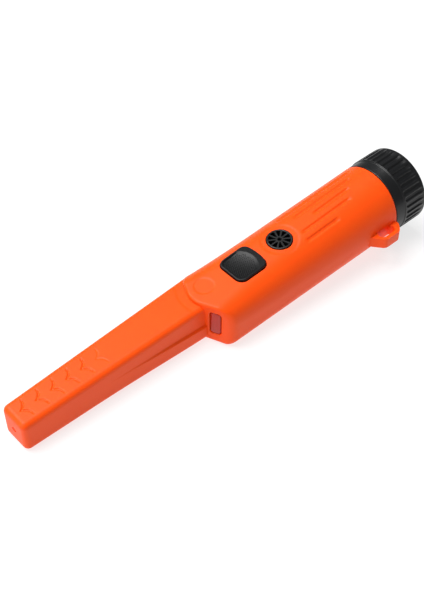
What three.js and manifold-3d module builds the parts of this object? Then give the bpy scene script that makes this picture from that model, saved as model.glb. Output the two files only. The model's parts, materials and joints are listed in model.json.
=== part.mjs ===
// Pinpointer probe: a hand-held metal locator, 235 mm long.
//
// Working frame, in millimetres: X runs along the cap's axis from the probe's tip (x = 0)
// to the end of the battery cap, Z is up through the power button, and the lamp window and
// the lanyard lug are on the -Y side. The finished group tilts this frame so that the object
// lies on its probe tip and its cap, with the floor at z = 0 under the middle of its box.
import * as THREE from 'three';
import { mergeVertices } from 'three/addons/utils/BufferGeometryUtils.js';
import Module from 'manifold-3d';

const wasm = await Module();
wasm.setup();
const { Manifold, Mesh: SolidMesh } = wasm;

// ---------------------------------------------------------------- driving dimensions

const LENGTH = 235;
const WALL = 2.0;
const GAP = 0.3;

// Probe: a tapering rounded box whose near side stays almost in line with the handle.
const ROOT_X = 101;
const PROBE_TIP = { halfWidth: 8.05, top: 8.55, bottom: -8.65, centreY: 1.6 };
const PROBE_ROOT = { halfWidth: 10.6, top: 7.8, bottom: -12.75, centreY: 5.5 };
const PROBE_EDGE = 2.9;
const TIP_EDGE = 2.0;

// Handle: a rounded box in front that becomes round at the cap.
const REAR_X = 213.9;
const FRONT = { halfWidth: 18, top: 9.85, bottom: -12.85, edge: 6.2 };
const REAR_RADIUS = 19.4;
const NOSE = { x: 98.7, y: 1.5, radius: 12, slope: THREE.MathUtils.degToRad(24.3) };
const NOSE_CORNERS = { near: 5, far: 8 };

// Scraping ledge along the lower near side of the probe.
const LEDGE = { start: 40, startTop: 1.2, endTop: -3.7, proud: 1.1, buried: 1.5, edge: 0.9 };

// Button, sounder and circuit board sit square to the sloping top of the handle.
const BUTTON = { x: 128.9, y: 0.5, length: 17.2, width: 16.6, corner: 3.8, bulge: 1.0, rise: 0.9 };
const SOUNDER = { x: 151.7, radius: 6.2, rim: 9.2, slots: 10 };
const BOARD = { front: -16.5, rear: 20.5, halfWidth: 12, top: -13, thickness: 1.6 };
const BADGE = { x: 107.7, y: 3.5, radius: 4.8, depth: 0.25 };
const GROOVES = [
  { y: -9.6, from: 159, to: 181.5 },
  { y: -4.8, from: 162, to: 194.5 },
  { y: 0, from: 174.5, to: 198.5 },
  { y: 4.8, from: 166, to: 203 },
  { y: 9.6, from: 160, to: 208 },
];
const GROOVE = { width: 1.8, depth: 0.5 };
const MARKS = { count: 6, first: 4, pitch: 8.1, arm: 4.7, sweep: 3.1, width: 0.9, depth: 0.4 };

// Lamp window, in the slanted near half of the nose.
const WINDOW = { y: -9.8, z: -1, width: 5.2, height: 13, corner: 1.2, recess: 0.5 };

// Lanyard lug.
const LUG = { from: 195, to: 213.3, reach: 25.4, z: -2.5, thickness: 6 };
const SLOT = { from: 199.4, to: 209.6, inner: 18.9, width: 4.8 };

// Cap, its plug and the screw thread that draws it in.
const CAP = { front: REAR_X + GAP, ring: 19.4, grip: 19.9, gripFrom: 220.2, endRadius: 18.2, flutes: 36 };
const FLUTE = { from: 220.9, width: 1.9, depth: 0.75 };
const PLUG = { front: 207.4, radius: 16.1, cup: 14.1, cupFloor: 210.3, bore: 9.0, boreEnd: 230 };
const THREAD = { pitch: 3, halfWidth: 0.5, boreRadius: 17.3, ridge: 16.7, crest: 17.0 };
const BORE_RIDGE = { start: 206.3, turns: 1.5 };
const PLUG_RIDGE = { start: 208.3, turns: 5 / 6 };
const SEAL = { x: 212.6, radius: 0.75, ring: 16.35 };

// Battery, of the common nine-volt size.
const BATTERY = { front: 160.4, length: 45.5, width: 26.2, height: 17.2, stud: 2.9, spacing: 12.7 };

// Sensor assembly on the probe's own centre line.
const FERRITE = { from: 9, to: 88, radius: 3.0 };
const FORMER = { from: 12, to: 86, inner: 3.3, outer: 4.0, flange: 5.6 };
const COILS = [
  { name: 'transmit_coil', from: 15, to: 44 },
  { name: 'receive_coil', from: 54, to: 83 },
];

// ---------------------------------------------------------------- finishes

const finish = (color, roughness, metalness = 0) =>
  new THREE.MeshStandardMaterial({ color, roughness, metalness });
const ORANGE = finish(0xff5a1e, 0.35);
const BLACK_PLASTIC = finish(0x232425, 0.5);
const BLACK_RUBBER = finish(0x1c1c1c, 0.85);
const CLEAR = finish(0xe8d8d4, 0.1);
const BOARD_GREEN = finish(0x1d6b3a, 0.45);
const CHIP = finish(0x1a1a1c, 0.5);
const TIN = finish(0xc9ccd0, 0.3, 0.9);
const BRASS = finish(0xc9a44c, 0.35, 0.9);
const COPPER = finish(0xb3622e, 0.35, 0.9);
const FERRITE_GREY = finish(0x3c3d40, 0.6);
const WHITE_PLASTIC = finish(0xd9d9d4, 0.5);
const FOAM = finish(0x55565a, 0.95);
const BATTERY_GREY = finish(0x3d4450, 0.4, 0.2);
const RED_WIRE = finish(0xb3201c, 0.5);
const BLACK_WIRE = finish(0x202020, 0.5);
const STEEL = finish(0xb8bcc0, 0.3, 1);

// ---------------------------------------------------------------- solid helpers

// A closed three.js geometry as a solid, and back.
function solid(geometry) {
  const loose = geometry.index ? geometry.toNonIndexed() : geometry;
  const bare = new THREE.BufferGeometry().setAttribute('position', loose.getAttribute('position'));
  const merged = mergeVertices(bare, 1e-4);
  const triVerts = new Uint32Array(merged.index.array);
  const vertProperties = new Float32Array(merged.attributes.position.array);
  const made = new Manifold(new SolidMesh({ numProp: 3, vertProperties, triVerts }));
  if (made.volume() > 0) return made;
  for (let i = 0; i < triVerts.length; i += 3) triVerts.subarray(i, i + 2).reverse();
  return new Manifold(new SolidMesh({ numProp: 3, vertProperties, triVerts }));
}

function geometryOf(made) {
  const { vertProperties, triVerts } = made.getMesh();
  const geometry = new THREE.BufferGeometry();
  geometry.setAttribute('position', new THREE.BufferAttribute(vertProperties, 3));
  geometry.setIndex(new THREE.BufferAttribute(triVerts, 1));
  geometry.computeVertexNormals();
  return geometry;
}

const join = (...solids) => solids.reduce((all, one) => all.add(one));
const cut = (body, ...tools) => tools.reduce((left, tool) => left.subtract(tool), body);

// A named mesh in a group.
function piece(parent, name, shape, material) {
  const mesh = new THREE.Mesh(shape.isBufferGeometry ? shape : geometryOf(shape), material);
  mesh.name = name;
  parent.add(mesh);
  return mesh;
}

const box = (x0, x1, y0, y1, z0, z1) =>
  new THREE.BoxGeometry(x1 - x0, y1 - y0, z1 - z0).translate((x0 + x1) / 2, (y0 + y1) / 2, (z0 + z1) / 2);

// Round bar along X.
const barX = (x0, x1, radius, sides = 24) => {
  const bar = new THREE.CylinderGeometry(radius, radius, x1 - x0, sides);
  return bar.rotateZ(-Math.PI / 2).translate((x0 + x1) / 2, 0, 0);
};

// Round bar along Z.
const barZ = (x, y, z0, z1, radius, sides = 24) => {
  const bar = new THREE.CylinderGeometry(radius, radius, z1 - z0, sides);
  return bar.rotateX(Math.PI / 2).translate(x, y, (z0 + z1) / 2);
};

// Solid of revolution about X from (x, radius) pairs that start and end on the axis.
function turned(profile, sides) {
  const points = profile.map(([x, radius]) => new THREE.Vector2(radius, x));
  return new THREE.LatheGeometry(points, sides).rotateZ(-Math.PI / 2);
}

// Hollow sleeve along X.
const sleeve = (x0, x1, inner, outer, sides = 24) =>
  cut(solid(barX(x0, x1, outer, sides)), solid(barX(x0 - 1, x1 + 1, inner, sides)));

// Flat shape in plan from corners { x, y, r }, each rounded to its radius r.
function plan(corners, steps = 5) {
  const points = [];
  corners.forEach((corner, i) => {
    const here = new THREE.Vector2(corner.x, corner.y);
    const before = corners[(i + corners.length - 1) % corners.length];
    const after = corners[(i + 1) % corners.length];
    const back = new THREE.Vector2(before.x, before.y).sub(here).normalize();
    const ahead = new THREE.Vector2(after.x, after.y).sub(here).normalize();
    if (!corner.r) {
      points.push(here);
      return;
    }
    const half = Math.acos(back.dot(ahead)) / 2;
    const inwards = back.clone().add(ahead).normalize();
    const centre = here.clone().addScaledVector(inwards, corner.r / Math.sin(half));
    const start = here.clone().addScaledVector(back, corner.r / Math.tan(half)).sub(centre);
    const end = here.clone().addScaledVector(ahead, corner.r / Math.tan(half)).sub(centre);
    const turn = Math.atan2(start.cross(end), start.dot(end));
    for (let k = 0; k <= steps; k++) {
      points.push(start.clone().rotateAround(new THREE.Vector2(), (turn * k) / steps).add(centre));
    }
  });
  return new THREE.Shape(points);
}

// Upright prism of a plan shape.
const prism = (shape, z0, z1) =>
  new THREE.ExtrudeGeometry(shape, { depth: z1 - z0, bevelEnabled: false }).translate(0, 0, z0);

const roundedBox = (length, width, corner) =>
  plan([
    { x: -length / 2, y: -width / 2, r: corner },
    { x: length / 2, y: -width / 2, r: corner },
    { x: length / 2, y: width / 2, r: corner },
    { x: -length / 2, y: width / 2, r: corner },
  ]);

// Slot with round ends along X.
function pill(x0, x1, y, width, steps = 4) {
  const r = width / 2;
  const points = [];
  for (let k = 0; k <= steps; k++) {
    const a = -Math.PI / 2 + (Math.PI * k) / steps;
    points.push(new THREE.Vector2(x1 - r + r * Math.cos(a), y + r * Math.sin(a)));
  }
  for (let k = 0; k <= steps; k++) {
    const a = Math.PI / 2 + (Math.PI * k) / steps;
    points.push(new THREE.Vector2(x0 + r + r * Math.cos(a), y + r * Math.sin(a)));
  }
  return new THREE.Shape(points);
}

// Cross-section in Y and Z: a box with rounded corners, as a ring of points at x.
function ring(x, section, inset = 0, cornerSteps = 9) {
  const halfY = section.halfWidth - inset;
  const halfZ = (section.top - section.bottom) / 2 - inset;
  const edge = Math.min(Math.max(section.edge - inset, 0.6), halfY, halfZ);
  const centreZ = (section.top + section.bottom) / 2;
  const points = [];
  for (let quarter = 0; quarter < 4; quarter++) {
    const signY = quarter === 0 || quarter === 3 ? 1 : -1;
    const signZ = quarter < 2 ? 1 : -1;
    for (let k = 0; k < cornerSteps; k++) {
      const a = ((quarter + (k + 0.5) / cornerSteps) * Math.PI) / 2;
      const y = section.centreY + signY * (halfY - edge) + edge * Math.cos(a);
      const z = centreZ + signZ * (halfZ - edge) + edge * Math.sin(a);
      points.push(new THREE.Vector3(x, y, z));
    }
  }
  return points;
}

// Closed skin over rings of equal point counts, turned right-handed about +X.
function loft(rings) {
  const triangles = [];
  const count = rings[0].length;
  for (let i = 0; i + 1 < rings.length; i++) {
    for (let j = 0; j < count; j++) {
      const next = (j + 1) % count;
      const [a, b] = [rings[i][j], rings[i][next]];
      const [c, d] = [rings[i + 1][next], rings[i + 1][j]];
      triangles.push(a, b, c, a, c, d);
    }
  }
  for (const [end, reversed] of [[rings[0], true], [rings[rings.length - 1], false]]) {
    const centre = end.reduce((sum, p) => sum.add(p), new THREE.Vector3()).divideScalar(count);
    end.forEach((p, j) => {
      const q = end[(j + 1) % count];
      triangles.push(centre, reversed ? q : p, reversed ? p : q);
    });
  }
  return new THREE.BufferGeometry().setFromPoints(triangles);
}

// Wire along a smooth route, as an extrusion of a small round section.
function wire(route, radius, steps = 6) {
  const path = new THREE.CatmullRomCurve3(route.map(([x, y, z]) => new THREE.Vector3(x, y, z)));
  const section = new THREE.Shape(
    Array.from({ length: 6 }, (_, k) => {
      const a = (k / 6) * Math.PI * 2;
      return new THREE.Vector2(radius * Math.cos(a), radius * Math.sin(a));
    }),
  );
  return new THREE.ExtrudeGeometry(section, { steps, extrudePath: path, bevelEnabled: false });
}

// ---------------------------------------------------------------- sections of the casing

const mix = THREE.MathUtils.lerp;

function probeSection(x) {
  const t = x / ROOT_X;
  return {
    halfWidth: mix(PROBE_TIP.halfWidth, PROBE_ROOT.halfWidth, t),
    top: mix(PROBE_TIP.top, PROBE_ROOT.top, t),
    bottom: mix(PROBE_TIP.bottom, PROBE_ROOT.bottom, t),
    centreY: mix(PROBE_TIP.centreY, PROBE_ROOT.centreY, t),
    edge: PROBE_EDGE,
  };
}

// The handle's edges grow quickly behind the nose until the section is round.
function handleSection(x) {
  const t = (x - ROOT_X) / (REAR_X - ROOT_X);
  const grown = Math.max(t, 0) ** 0.48;
  return {
    halfWidth: mix(FRONT.halfWidth, REAR_RADIUS, t),
    top: mix(FRONT.top, REAR_RADIUS, t),
    bottom: mix(FRONT.bottom, -REAR_RADIUS, t),
    centreY: 0,
    edge: mix(FRONT.edge, REAR_RADIUS, grown),
  };
}

const HANDLE_STATIONS = [96, 101, 103, 107, 114, 124, 138, 156, 182, REAR_X];
function handleSkin(inset, rear = REAR_X) {
  const stations = HANDLE_STATIONS.map((x) => (x === REAR_X ? rear : x));
  return solid(loft(stations.map((x) => ring(x, handleSection(x), inset))));
}

// Blunt wedge of the nose in plan, moved back by `setBack`.
function nosePlan(setBack = 0) {
  const apex = NOSE.x - NOSE.radius * (1 / Math.cos(NOSE.slope) - 1) + setBack;
  const side = FRONT.halfWidth + 0.05;
  const rearSide = REAR_RADIUS + 0.6;
  const farEnd = LENGTH + 30;
  return plan(
    [
      { x: farEnd, y: -rearSide, r: 0 },
      { x: farEnd, y: rearSide, r: 0 },
      { x: apex + Math.tan(NOSE.slope) * (side - NOSE.y), y: side, r: NOSE_CORNERS.far },
      { x: apex, y: NOSE.y, r: NOSE.radius },
      { x: apex + Math.tan(NOSE.slope) * (side + NOSE.y), y: -side, r: NOSE_CORNERS.near },
    ],
    6,
  );
}

// Frame of the sloping top: u along it towards the cap, v = y, w outwards, w = 0 on the surface.
const DECK_SLOPE = Math.atan2(REAR_RADIUS - FRONT.top, REAR_X - ROOT_X);
const topAt = (x) => handleSection(x).top;
const deck = new THREE.Group();
deck.name = 'deck';
deck.position.set(BUTTON.x, 0, topAt(BUTTON.x));
deck.rotation.y = -DECK_SLOPE;
deck.updateMatrix();
const deckU = (x) => (x - BUTTON.x) / Math.cos(DECK_SLOPE);
const onDeck = (geometry) => solid(geometry.applyMatrix4(deck.matrix));
const SOUNDER_U = deckU(SOUNDER.x);

// Frame of the lamp window: local -X faces out of the slanted nose.
const NOSE_APEX = NOSE.x - NOSE.radius * (1 / Math.cos(NOSE.slope) - 1);
const lamp = new THREE.Group();
lamp.name = 'lamp';
lamp.position.set(NOSE_APEX + Math.tan(NOSE.slope) * (NOSE.y - WINDOW.y), WINDOW.y, WINDOW.z);
lamp.rotation.z = NOSE.slope;
lamp.updateMatrix();
// A flat outline given in the window's own width and height, as a block from x0 to x1 behind it.
const lampBlock = (width, height, corner, x0, x1) =>
  prism(roundedBox(height, width, corner), x0, x1).rotateY(Math.PI / 2).rotateX(Math.PI);

// ---------------------------------------------------------------- housing

function buttonPlan(grow) {
  const halfU = BUTTON.length / 2 + grow;
  const halfV = BUTTON.width / 2 + grow;
  const r = BUTTON.corner + grow;
  return plan([
    { x: -halfU, y: BUTTON.y - halfV, r },
    { x: halfU, y: BUTTON.y - halfV, r },
    { x: halfU + BUTTON.bulge, y: BUTTON.y, r: 1.5 * BUTTON.width },
    { x: halfU, y: BUTTON.y + halfV, r },
    { x: -halfU, y: BUTTON.y + halfV, r },
  ]);
}

// A ridge of square section wound right-handed about X, between two radii.
function helixRidge({ start, turns }, startAngle, inner, outer) {
  const stepsPerTurn = 24;
  const steps = Math.round(turns * stepsPerTurn);
  const h = THREAD.halfWidth;
  const rings = [];
  for (let i = 0; i <= steps; i++) {
    const a = startAngle + (i / stepsPerTurn) * Math.PI * 2;
    const x = start + (THREAD.pitch * i) / stepsPerTurn;
    const corner = (dx, r) => new THREE.Vector3(x + dx, r * Math.cos(a), r * Math.sin(a));
    rings.push([corner(-h, inner), corner(h, inner), corner(0.6 * h, outer), corner(-0.6 * h, outer)]);
  }
  return solid(loft(rings));
}

function ledge() {
  const stations = [LEDGE.start, ROOT_X + 1].map((x) => {
    const t = (x - LEDGE.start) / (ROOT_X - LEDGE.start);
    const section = probeSection(x);
    const skin = section.centreY - section.halfWidth;
    const outer = skin - mix(-0.2, LEDGE.proud, t);
    const inner = skin + LEDGE.buried;
    return ring(
      x,
      {
        halfWidth: (inner - outer) / 2,
        centreY: (inner + outer) / 2,
        top: mix(LEDGE.startTop, LEDGE.endTop, t),
        bottom: section.bottom + 0.4,
        edge: LEDGE.edge,
      },
      0,
      3,
    );
  });
  return solid(loft(stations));
}

// One gull-wing mark pressed into the probe's top, its point towards the tip.
function probeMark(i) {
  const x = MARKS.first + MARKS.pitch * i;
  const section = probeSection(x);
  const scale = i === MARKS.count - 1 ? 0.7 : 1;
  const edgeLine = (offset) =>
    [-1, -0.3, 0, 0.3, 1].map((s) => {
      const along = (Math.abs(s) < 0.3 ? 0 : Math.abs(s) > 0.5 ? 1 : 0.72) * MARKS.sweep * scale;
      return new THREE.Vector2(x + along + offset, section.centreY - 0.3 + s * MARKS.arm * scale);
    });
  const shape = new THREE.Shape([...edgeLine(0), ...edgeLine(MARKS.width).reverse()]);
  return solid(prism(shape, section.top - MARKS.depth, section.top + 2));
}

function housing() {
  const probeRings = [0, 1, 2, 3, 4].map((k) => {
    const a = (k * Math.PI) / 8;
    const x = TIP_EDGE * (1 - Math.cos(a));
    return ring(x, probeSection(x), TIP_EDGE * (1 - Math.sin(a)), 5);
  });
  probeRings.push(ring(110, probeSection(110), 0, 5));
  const probe = solid(loft(probeRings));
  const probeHollow = solid(loft([3, 112].map((x) => ring(x, probeSection(x), WALL, 5))));

  const nose = solid(prism(nosePlan(), -30, 30));
  const noseInside = solid(prism(nosePlan(WALL + 0.4), -30, 30));
  const outer = handleSkin(0);
  const inner = handleSkin(WALL, REAR_X + 6).intersect(noseInside);
  const lugShape = plan([
    { x: LUG.from, y: -15, r: 0 },
    { x: LUG.to, y: -15, r: 0 },
    { x: LUG.to, y: -21.5, r: 1 },
    { x: LUG.to - 3.2, y: -LUG.reach, r: 2.5 },
    { x: LUG.from + 5.5, y: -LUG.reach, r: 3 },
    { x: LUG.from, y: -18.8, r: 1 },
  ]);
  const lug = solid(prism(lugShape, LUG.z - LUG.thickness / 2, LUG.z + LUG.thickness / 2));
  const slotY = -(SLOT.inner + SLOT.width / 2);
  const slot = solid(prism(pill(SLOT.from, SLOT.to, slotY, SLOT.width), LUG.z - 4, LUG.z + 4));

  let body = join(outer.intersect(nose), probe, ledge(), lug);
  body = cut(body, inner, probeHollow, slot, solid(barX(205.2, REAR_X + 1, THREAD.boreRadius, 40)));

  // Openings through the top and the nose.
  const topOpenings = [
    onDeck(prism(buttonPlan(GAP), -9, 5)),
    onDeck(barZ(SOUNDER_U, 0, -9, 5, SOUNDER.radius + GAP, 36)),
  ];
  const clear = 2 * GAP;
  const opening = lampBlock(WINDOW.width + clear, WINDOW.height + clear, WINDOW.corner, -6, 9);
  const window = solid(opening.applyMatrix4(lamp.matrix));
  body = cut(body, ...topOpenings, window);

  // Shallow recesses that follow the curved top: their floor is the skin, moved inwards.
  const followTop = (tools, depth) => cut(body, cut(join(...tools), handleSkin(depth)));
  const grooves = GROOVES.map(({ y, from, to }) => solid(prism(pill(from, to, y, GROOVE.width), 5, 30)));
  body = followTop(grooves, GROOVE.depth);
  body = followTop([onDeck(barZ(SOUNDER_U, 0, -5, 5, SOUNDER.rim, 36))], 0.35);
  body = followTop([solid(barZ(BADGE.x, BADGE.y, 5, 20, BADGE.radius, 24))], BADGE.depth);
  for (let i = 0; i < MARKS.count; i++) body = body.subtract(probeMark(i));

  // Thread ridge that stands inwards from the rear bore.
  const ridge = helixRidge(BORE_RIDGE, 0, THREAD.ridge, THREAD.boreRadius + 0.6);
  return body.add(ridge);
}

// ---------------------------------------------------------------- cap and what screws in with it

function cap() {
  const { front, ring: ringRadius, grip, gripFrom, endRadius } = CAP;
  const body = solid(
    turned(
      [
        [PLUG.boreEnd, 0],
        [PLUG.boreEnd, PLUG.bore],
        [PLUG.cupFloor, PLUG.bore],
        [PLUG.cupFloor, PLUG.cup],
        [PLUG.front, PLUG.cup],
        [PLUG.front, PLUG.radius],
        [SEAL.x - 0.95, PLUG.radius],
        [SEAL.x - 0.95, SEAL.ring - SEAL.radius - GAP],
        [SEAL.x + 0.95, SEAL.ring - SEAL.radius - GAP],
        [SEAL.x + 0.95, PLUG.radius],
        [front, PLUG.radius],
        [front, ringRadius],
        [gripFrom - 0.4, ringRadius],
        [gripFrom, grip],
        [LENGTH - 1.7, grip],
        [LENGTH - 0.5, grip - 0.5],
        [LENGTH, endRadius],
        [LENGTH, 0],
      ],
      CAP.flutes,
    ),
  );
  const fluteShape = pill(FLUTE.from, LENGTH + 4, 0, FLUTE.width, 3);
  const flutes = Array.from({ length: CAP.flutes }, (_, i) => {
    const turn = ((i + 0.4) / CAP.flutes) * Math.PI * 2;
    return solid(prism(fluteShape, grip - FLUTE.depth, grip + 3).rotateX(turn));
  });
  // The plug's ridge runs half a pitch behind the housing's.
  const lead = (PLUG_RIDGE.start - BORE_RIDGE.start) / THREAD.pitch - 0.5;
  const ridge = helixRidge(PLUG_RIDGE, lead * Math.PI * 2, PLUG.radius - 0.6, THREAD.crest);
  return cut(body, ...flutes).add(ridge);
}

const pusher = () =>
  solid(
    turned(
      [
        [PLUG.front + 0.3, 0],
        [PLUG.front + 0.3, PLUG.cup - 0.4],
        [PLUG.cupFloor - 0.4, PLUG.cup - 0.4],
        [PLUG.cupFloor - 0.4, PLUG.bore - 0.4],
        [PLUG.boreEnd - 0.5, PLUG.bore - 0.4],
        [PLUG.boreEnd - 0.5, 0],
      ],
      36,
    ),
  );

const sealRing = () =>
  solid(new THREE.TorusGeometry(SEAL.ring, SEAL.radius, 6, 32).rotateY(Math.PI / 2).translate(SEAL.x, 0, 0));

// ---------------------------------------------------------------- button and switch

function powerButton() {
  const skirt = solid(prism(buttonPlan(0), -3.4, BUTTON.rise));
  const flange = solid(prism(buttonPlan(1.2), -4.6, -3.4));
  const stem = solid(barZ(0, 0, -8.9, -4.6, 1.6, 16));
  const dishRadius = 7.4;
  const dishDepth = 0.8;
  const ball = (dishRadius ** 2 + dishDepth ** 2) / (2 * dishDepth);
  const dish = [0, 1, 2, 3, 4].map((k) => {
    const reach = (dishRadius * 1.25 * k) / 4;
    return new THREE.Vector2(reach, BUTTON.rise - dishDepth + ball - Math.sqrt(ball ** 2 - reach ** 2));
  });
  dish.push(new THREE.Vector2(dishRadius * 1.25, 6), new THREE.Vector2(0, 6));
  const dishTool = new THREE.LatheGeometry(dish, 28).rotateX(Math.PI / 2).translate(0, BUTTON.y, 0);
  return cut(join(skirt, flange, stem), solid(dishTool));
}

const buttonSeal = () =>
  cut(solid(prism(buttonPlan(2.3), -6.2, -4.9)), solid(prism(buttonPlan(1.5), -7, -3)));

const SWITCH_TOP = -10.3;
const boardTop = BOARD.top + GAP;
const switchBody = () =>
  cut(solid(box(-3.1, 3.1, -3.1, 3.1, boardTop, SWITCH_TOP)), solid(barZ(0, 0, boardTop + 0.2, 0, 2.05, 16)));

// ---------------------------------------------------------------- sounder

function sounderGrille() {
  const { radius, slots } = SOUNDER;
  const flange = radius + 1.1;
  const profile = [[0, -4.1], [flange, -4.1], [flange, -2.9], [radius, -2.9], [radius, -0.55], [0, -0.55]];
  const points = profile.map(([r, w]) => new THREE.Vector2(r, w));
  const disc = solid(new THREE.LatheGeometry(points, 30).rotateX(Math.PI / 2).translate(SOUNDER_U, 0, 0));
  const hole = solid(barZ(SOUNDER_U, 0, -6, 3, 1.0, 10));
  const wedges = Array.from({ length: slots }, (_, i) => {
    const middle = ((i + 0.5) / slots) * Math.PI * 2;
    const inner = 1.9;
    const outer = radius - 0.9;
    const point = (r, a) => new THREE.Vector2(SOUNDER_U + r * Math.cos(a), r * Math.sin(a));
    const spread = Math.PI / slots;
    const shape = new THREE.Shape([
      point(inner, middle - spread * 0.35),
      point(outer, middle - spread * 0.78),
      point(outer + 0.25, middle),
      point(outer, middle + spread * 0.78),
      point(inner, middle + spread * 0.35),
    ]);
    return solid(prism(shape, -6, 3));
  });
  return cut(disc, hole, ...wedges);
}

// ---------------------------------------------------------------- board and chassis

const SCREWS = [
  [BOARD.front + 3.2, -9],
  [BOARD.front + 3.2, 9],
  [BOARD.rear - 3.2, -9],
  [BOARD.rear - 3.2, 9],
];
const boardBottom = BOARD.top - BOARD.thickness;
const CHASSIS = { top: boardBottom - 2, bottom: boardBottom - 3.5 };
const MOTOR = { from: 0, to: 11, v: -4, w: CHASSIS.bottom - 3.4, radius: 3, weightFrom: 12, weightTo: 16 };

const mainBoard = () =>
  cut(
    solid(box(BOARD.front, BOARD.rear, -BOARD.halfWidth, BOARD.halfWidth, boardBottom, BOARD.top)),
    ...SCREWS.map(([u, v]) => solid(barZ(u, v, boardBottom - 1, BOARD.top + 1, 1.4, 16))),
  );

function chassis() {
  const plate = solid(box(BOARD.front + 0.5, BOARD.rear, -11, 11, CHASSIS.bottom, CHASSIS.top));
  const posts = SCREWS.map(([u, v]) => solid(barZ(u, v, CHASSIS.top - 0.5, boardBottom - GAP, 2.4, 16)));
  const holes = SCREWS.map(([u, v]) => solid(barZ(u, v, CHASSIS.bottom - 1, boardBottom, 1.3, 12)));
  const cradles = [MOTOR.from + 2, MOTOR.to - 3].map((u) =>
    cut(
      solid(box(u, u + 1.6, MOTOR.v - 4.6, MOTOR.v + 4.6, MOTOR.w, CHASSIS.bottom + 0.5)),
      solid(barX(u - 1, u + 3, MOTOR.radius + GAP, 20).translate(0, MOTOR.v, MOTOR.w)),
    ),
  );
  return cut(join(plate, ...posts, ...cradles), ...holes);
}

function boardScrew([u, v]) {
  const head = solid(barZ(u, v, boardTop, boardTop + 1.3, 2.2, 16));
  const shank = solid(barZ(u, v, CHASSIS.bottom + 0.3, boardTop + 0.5, 1.0, 12));
  const crossSlot = (halfU, halfV) =>
    solid(box(u - halfU, u + halfU, v - halfV, v + halfV, boardTop + 0.6, boardTop + 3));
  return cut(join(head, shank), crossSlot(1.3, 0.3), crossSlot(0.3, 1.3));
}

const motorCan = () =>
  cut(solid(barX(MOTOR.from, MOTOR.to, MOTOR.radius, 24)), solid(barX(MOTOR.to - 3, MOTOR.to + 1, 0.9, 12)));

function motorWeight() {
  const shaft = solid(barX(MOTOR.to - 2.5, MOTOR.weightTo, 0.5, 12));
  const disc = solid(barX(MOTOR.weightFrom, MOTOR.weightTo, MOTOR.radius - 0.3, 24));
  const half = cut(disc, solid(box(0, 30, -5, 5, 0.6, 5)));
  return join(half, shaft);
}

// ---------------------------------------------------------------- assembly

const frame = new THREE.Group();
frame.name = 'working_frame';
frame.add(deck, lamp);

piece(frame, 'housing', housing(), ORANGE);
piece(frame, 'battery_cap', cap(), BLACK_PLASTIC);
piece(frame, 'cap_seal_ring', sealRing(), BLACK_RUBBER);
piece(frame, 'battery_pusher', pusher(), WHITE_PLASTIC);
piece(frame, 'battery_pad', solid(barX(PLUG.front - 1.2, PLUG.front - 0.1, 11, 24)), FOAM);

piece(deck, 'power_button', powerButton(), BLACK_RUBBER);
piece(deck, 'button_seal', buttonSeal(), BLACK_RUBBER);
piece(deck, 'switch_body', switchBody(), CHIP);
piece(deck, 'switch_plunger', solid(barZ(0, 0, -11.4, -9.2, 1.7, 16)), WHITE_PLASTIC);

piece(deck, 'sounder_grille', sounderGrille(), BLACK_PLASTIC);
piece(deck, 'sounder_membrane', solid(barZ(SOUNDER_U, 0, -4.8, -4.4, 7.2, 32)), FOAM);
piece(deck, 'sounder', solid(barZ(SOUNDER_U, 0, -10.2, -5.1, 6, 28)), BLACK_PLASTIC);

piece(deck, 'main_board', mainBoard(), BOARD_GREEN);
piece(deck, 'chassis', chassis(), BLACK_PLASTIC);
SCREWS.forEach((place, i) => piece(deck, `board_screw_${i + 1}`, boardScrew(place), STEEL));
piece(deck, 'controller_chip', solid(box(-11.6, -4.6, -0.6, 6.4, boardTop, boardTop + 1.4)), CHIP);
piece(deck, 'amplifier_chip', solid(box(-9.5, -5.5, -8, -3.4, boardTop, boardTop + 1.5)), CHIP);
piece(deck, 'regulator', solid(box(11, 14.5, -5, 1.5, boardTop, boardTop + 1.7)), CHIP);
const crystal = prism(roundedBox(4.6, 11, 2.2), boardTop, boardTop + 3.5).translate(6.4, 5.8, 0);
piece(deck, 'quartz_crystal', solid(crystal), TIN);
piece(deck, 'capacitor_1', solid(barZ(6.5, -8, boardTop, boardTop + 5.4, 3.15, 24)), CHIP);
piece(deck, 'capacitor_2', solid(barZ(12.5, 7, boardTop, boardTop + 5.5, 2.5, 20)), CHIP);

const motor = new THREE.Group();
motor.position.set(0, MOTOR.v, MOTOR.w);
deck.add(motor);
piece(motor, 'motor_can', motorCan(), TIN);
piece(motor, 'motor_weight', motorWeight(), STEEL);

const clearBlock = lampBlock(WINDOW.width, WINDOW.height, WINDOW.corner, WINDOW.recess, 2.4);
piece(lamp, 'lamp_window', solid(clearBlock), CLEAR);
const lampBody = new THREE.LatheGeometry(
  [[0, 0], [1.5, 0], [1.5, 3.4], [1.35, 4.2], [0.9, 4.8], [0, 5.1]].map(([r, h]) => new THREE.Vector2(r, h)),
  20,
).rotateZ(Math.PI / 2);
piece(lamp, 'lamp_led', solid(lampBody.translate(8, 0, 1)), CLEAR);
piece(lamp, 'lamp_board', solid(box(8.3, 9.3, -3.4, 3.4, -5.5, 5.5)), BOARD_GREEN);

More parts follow.
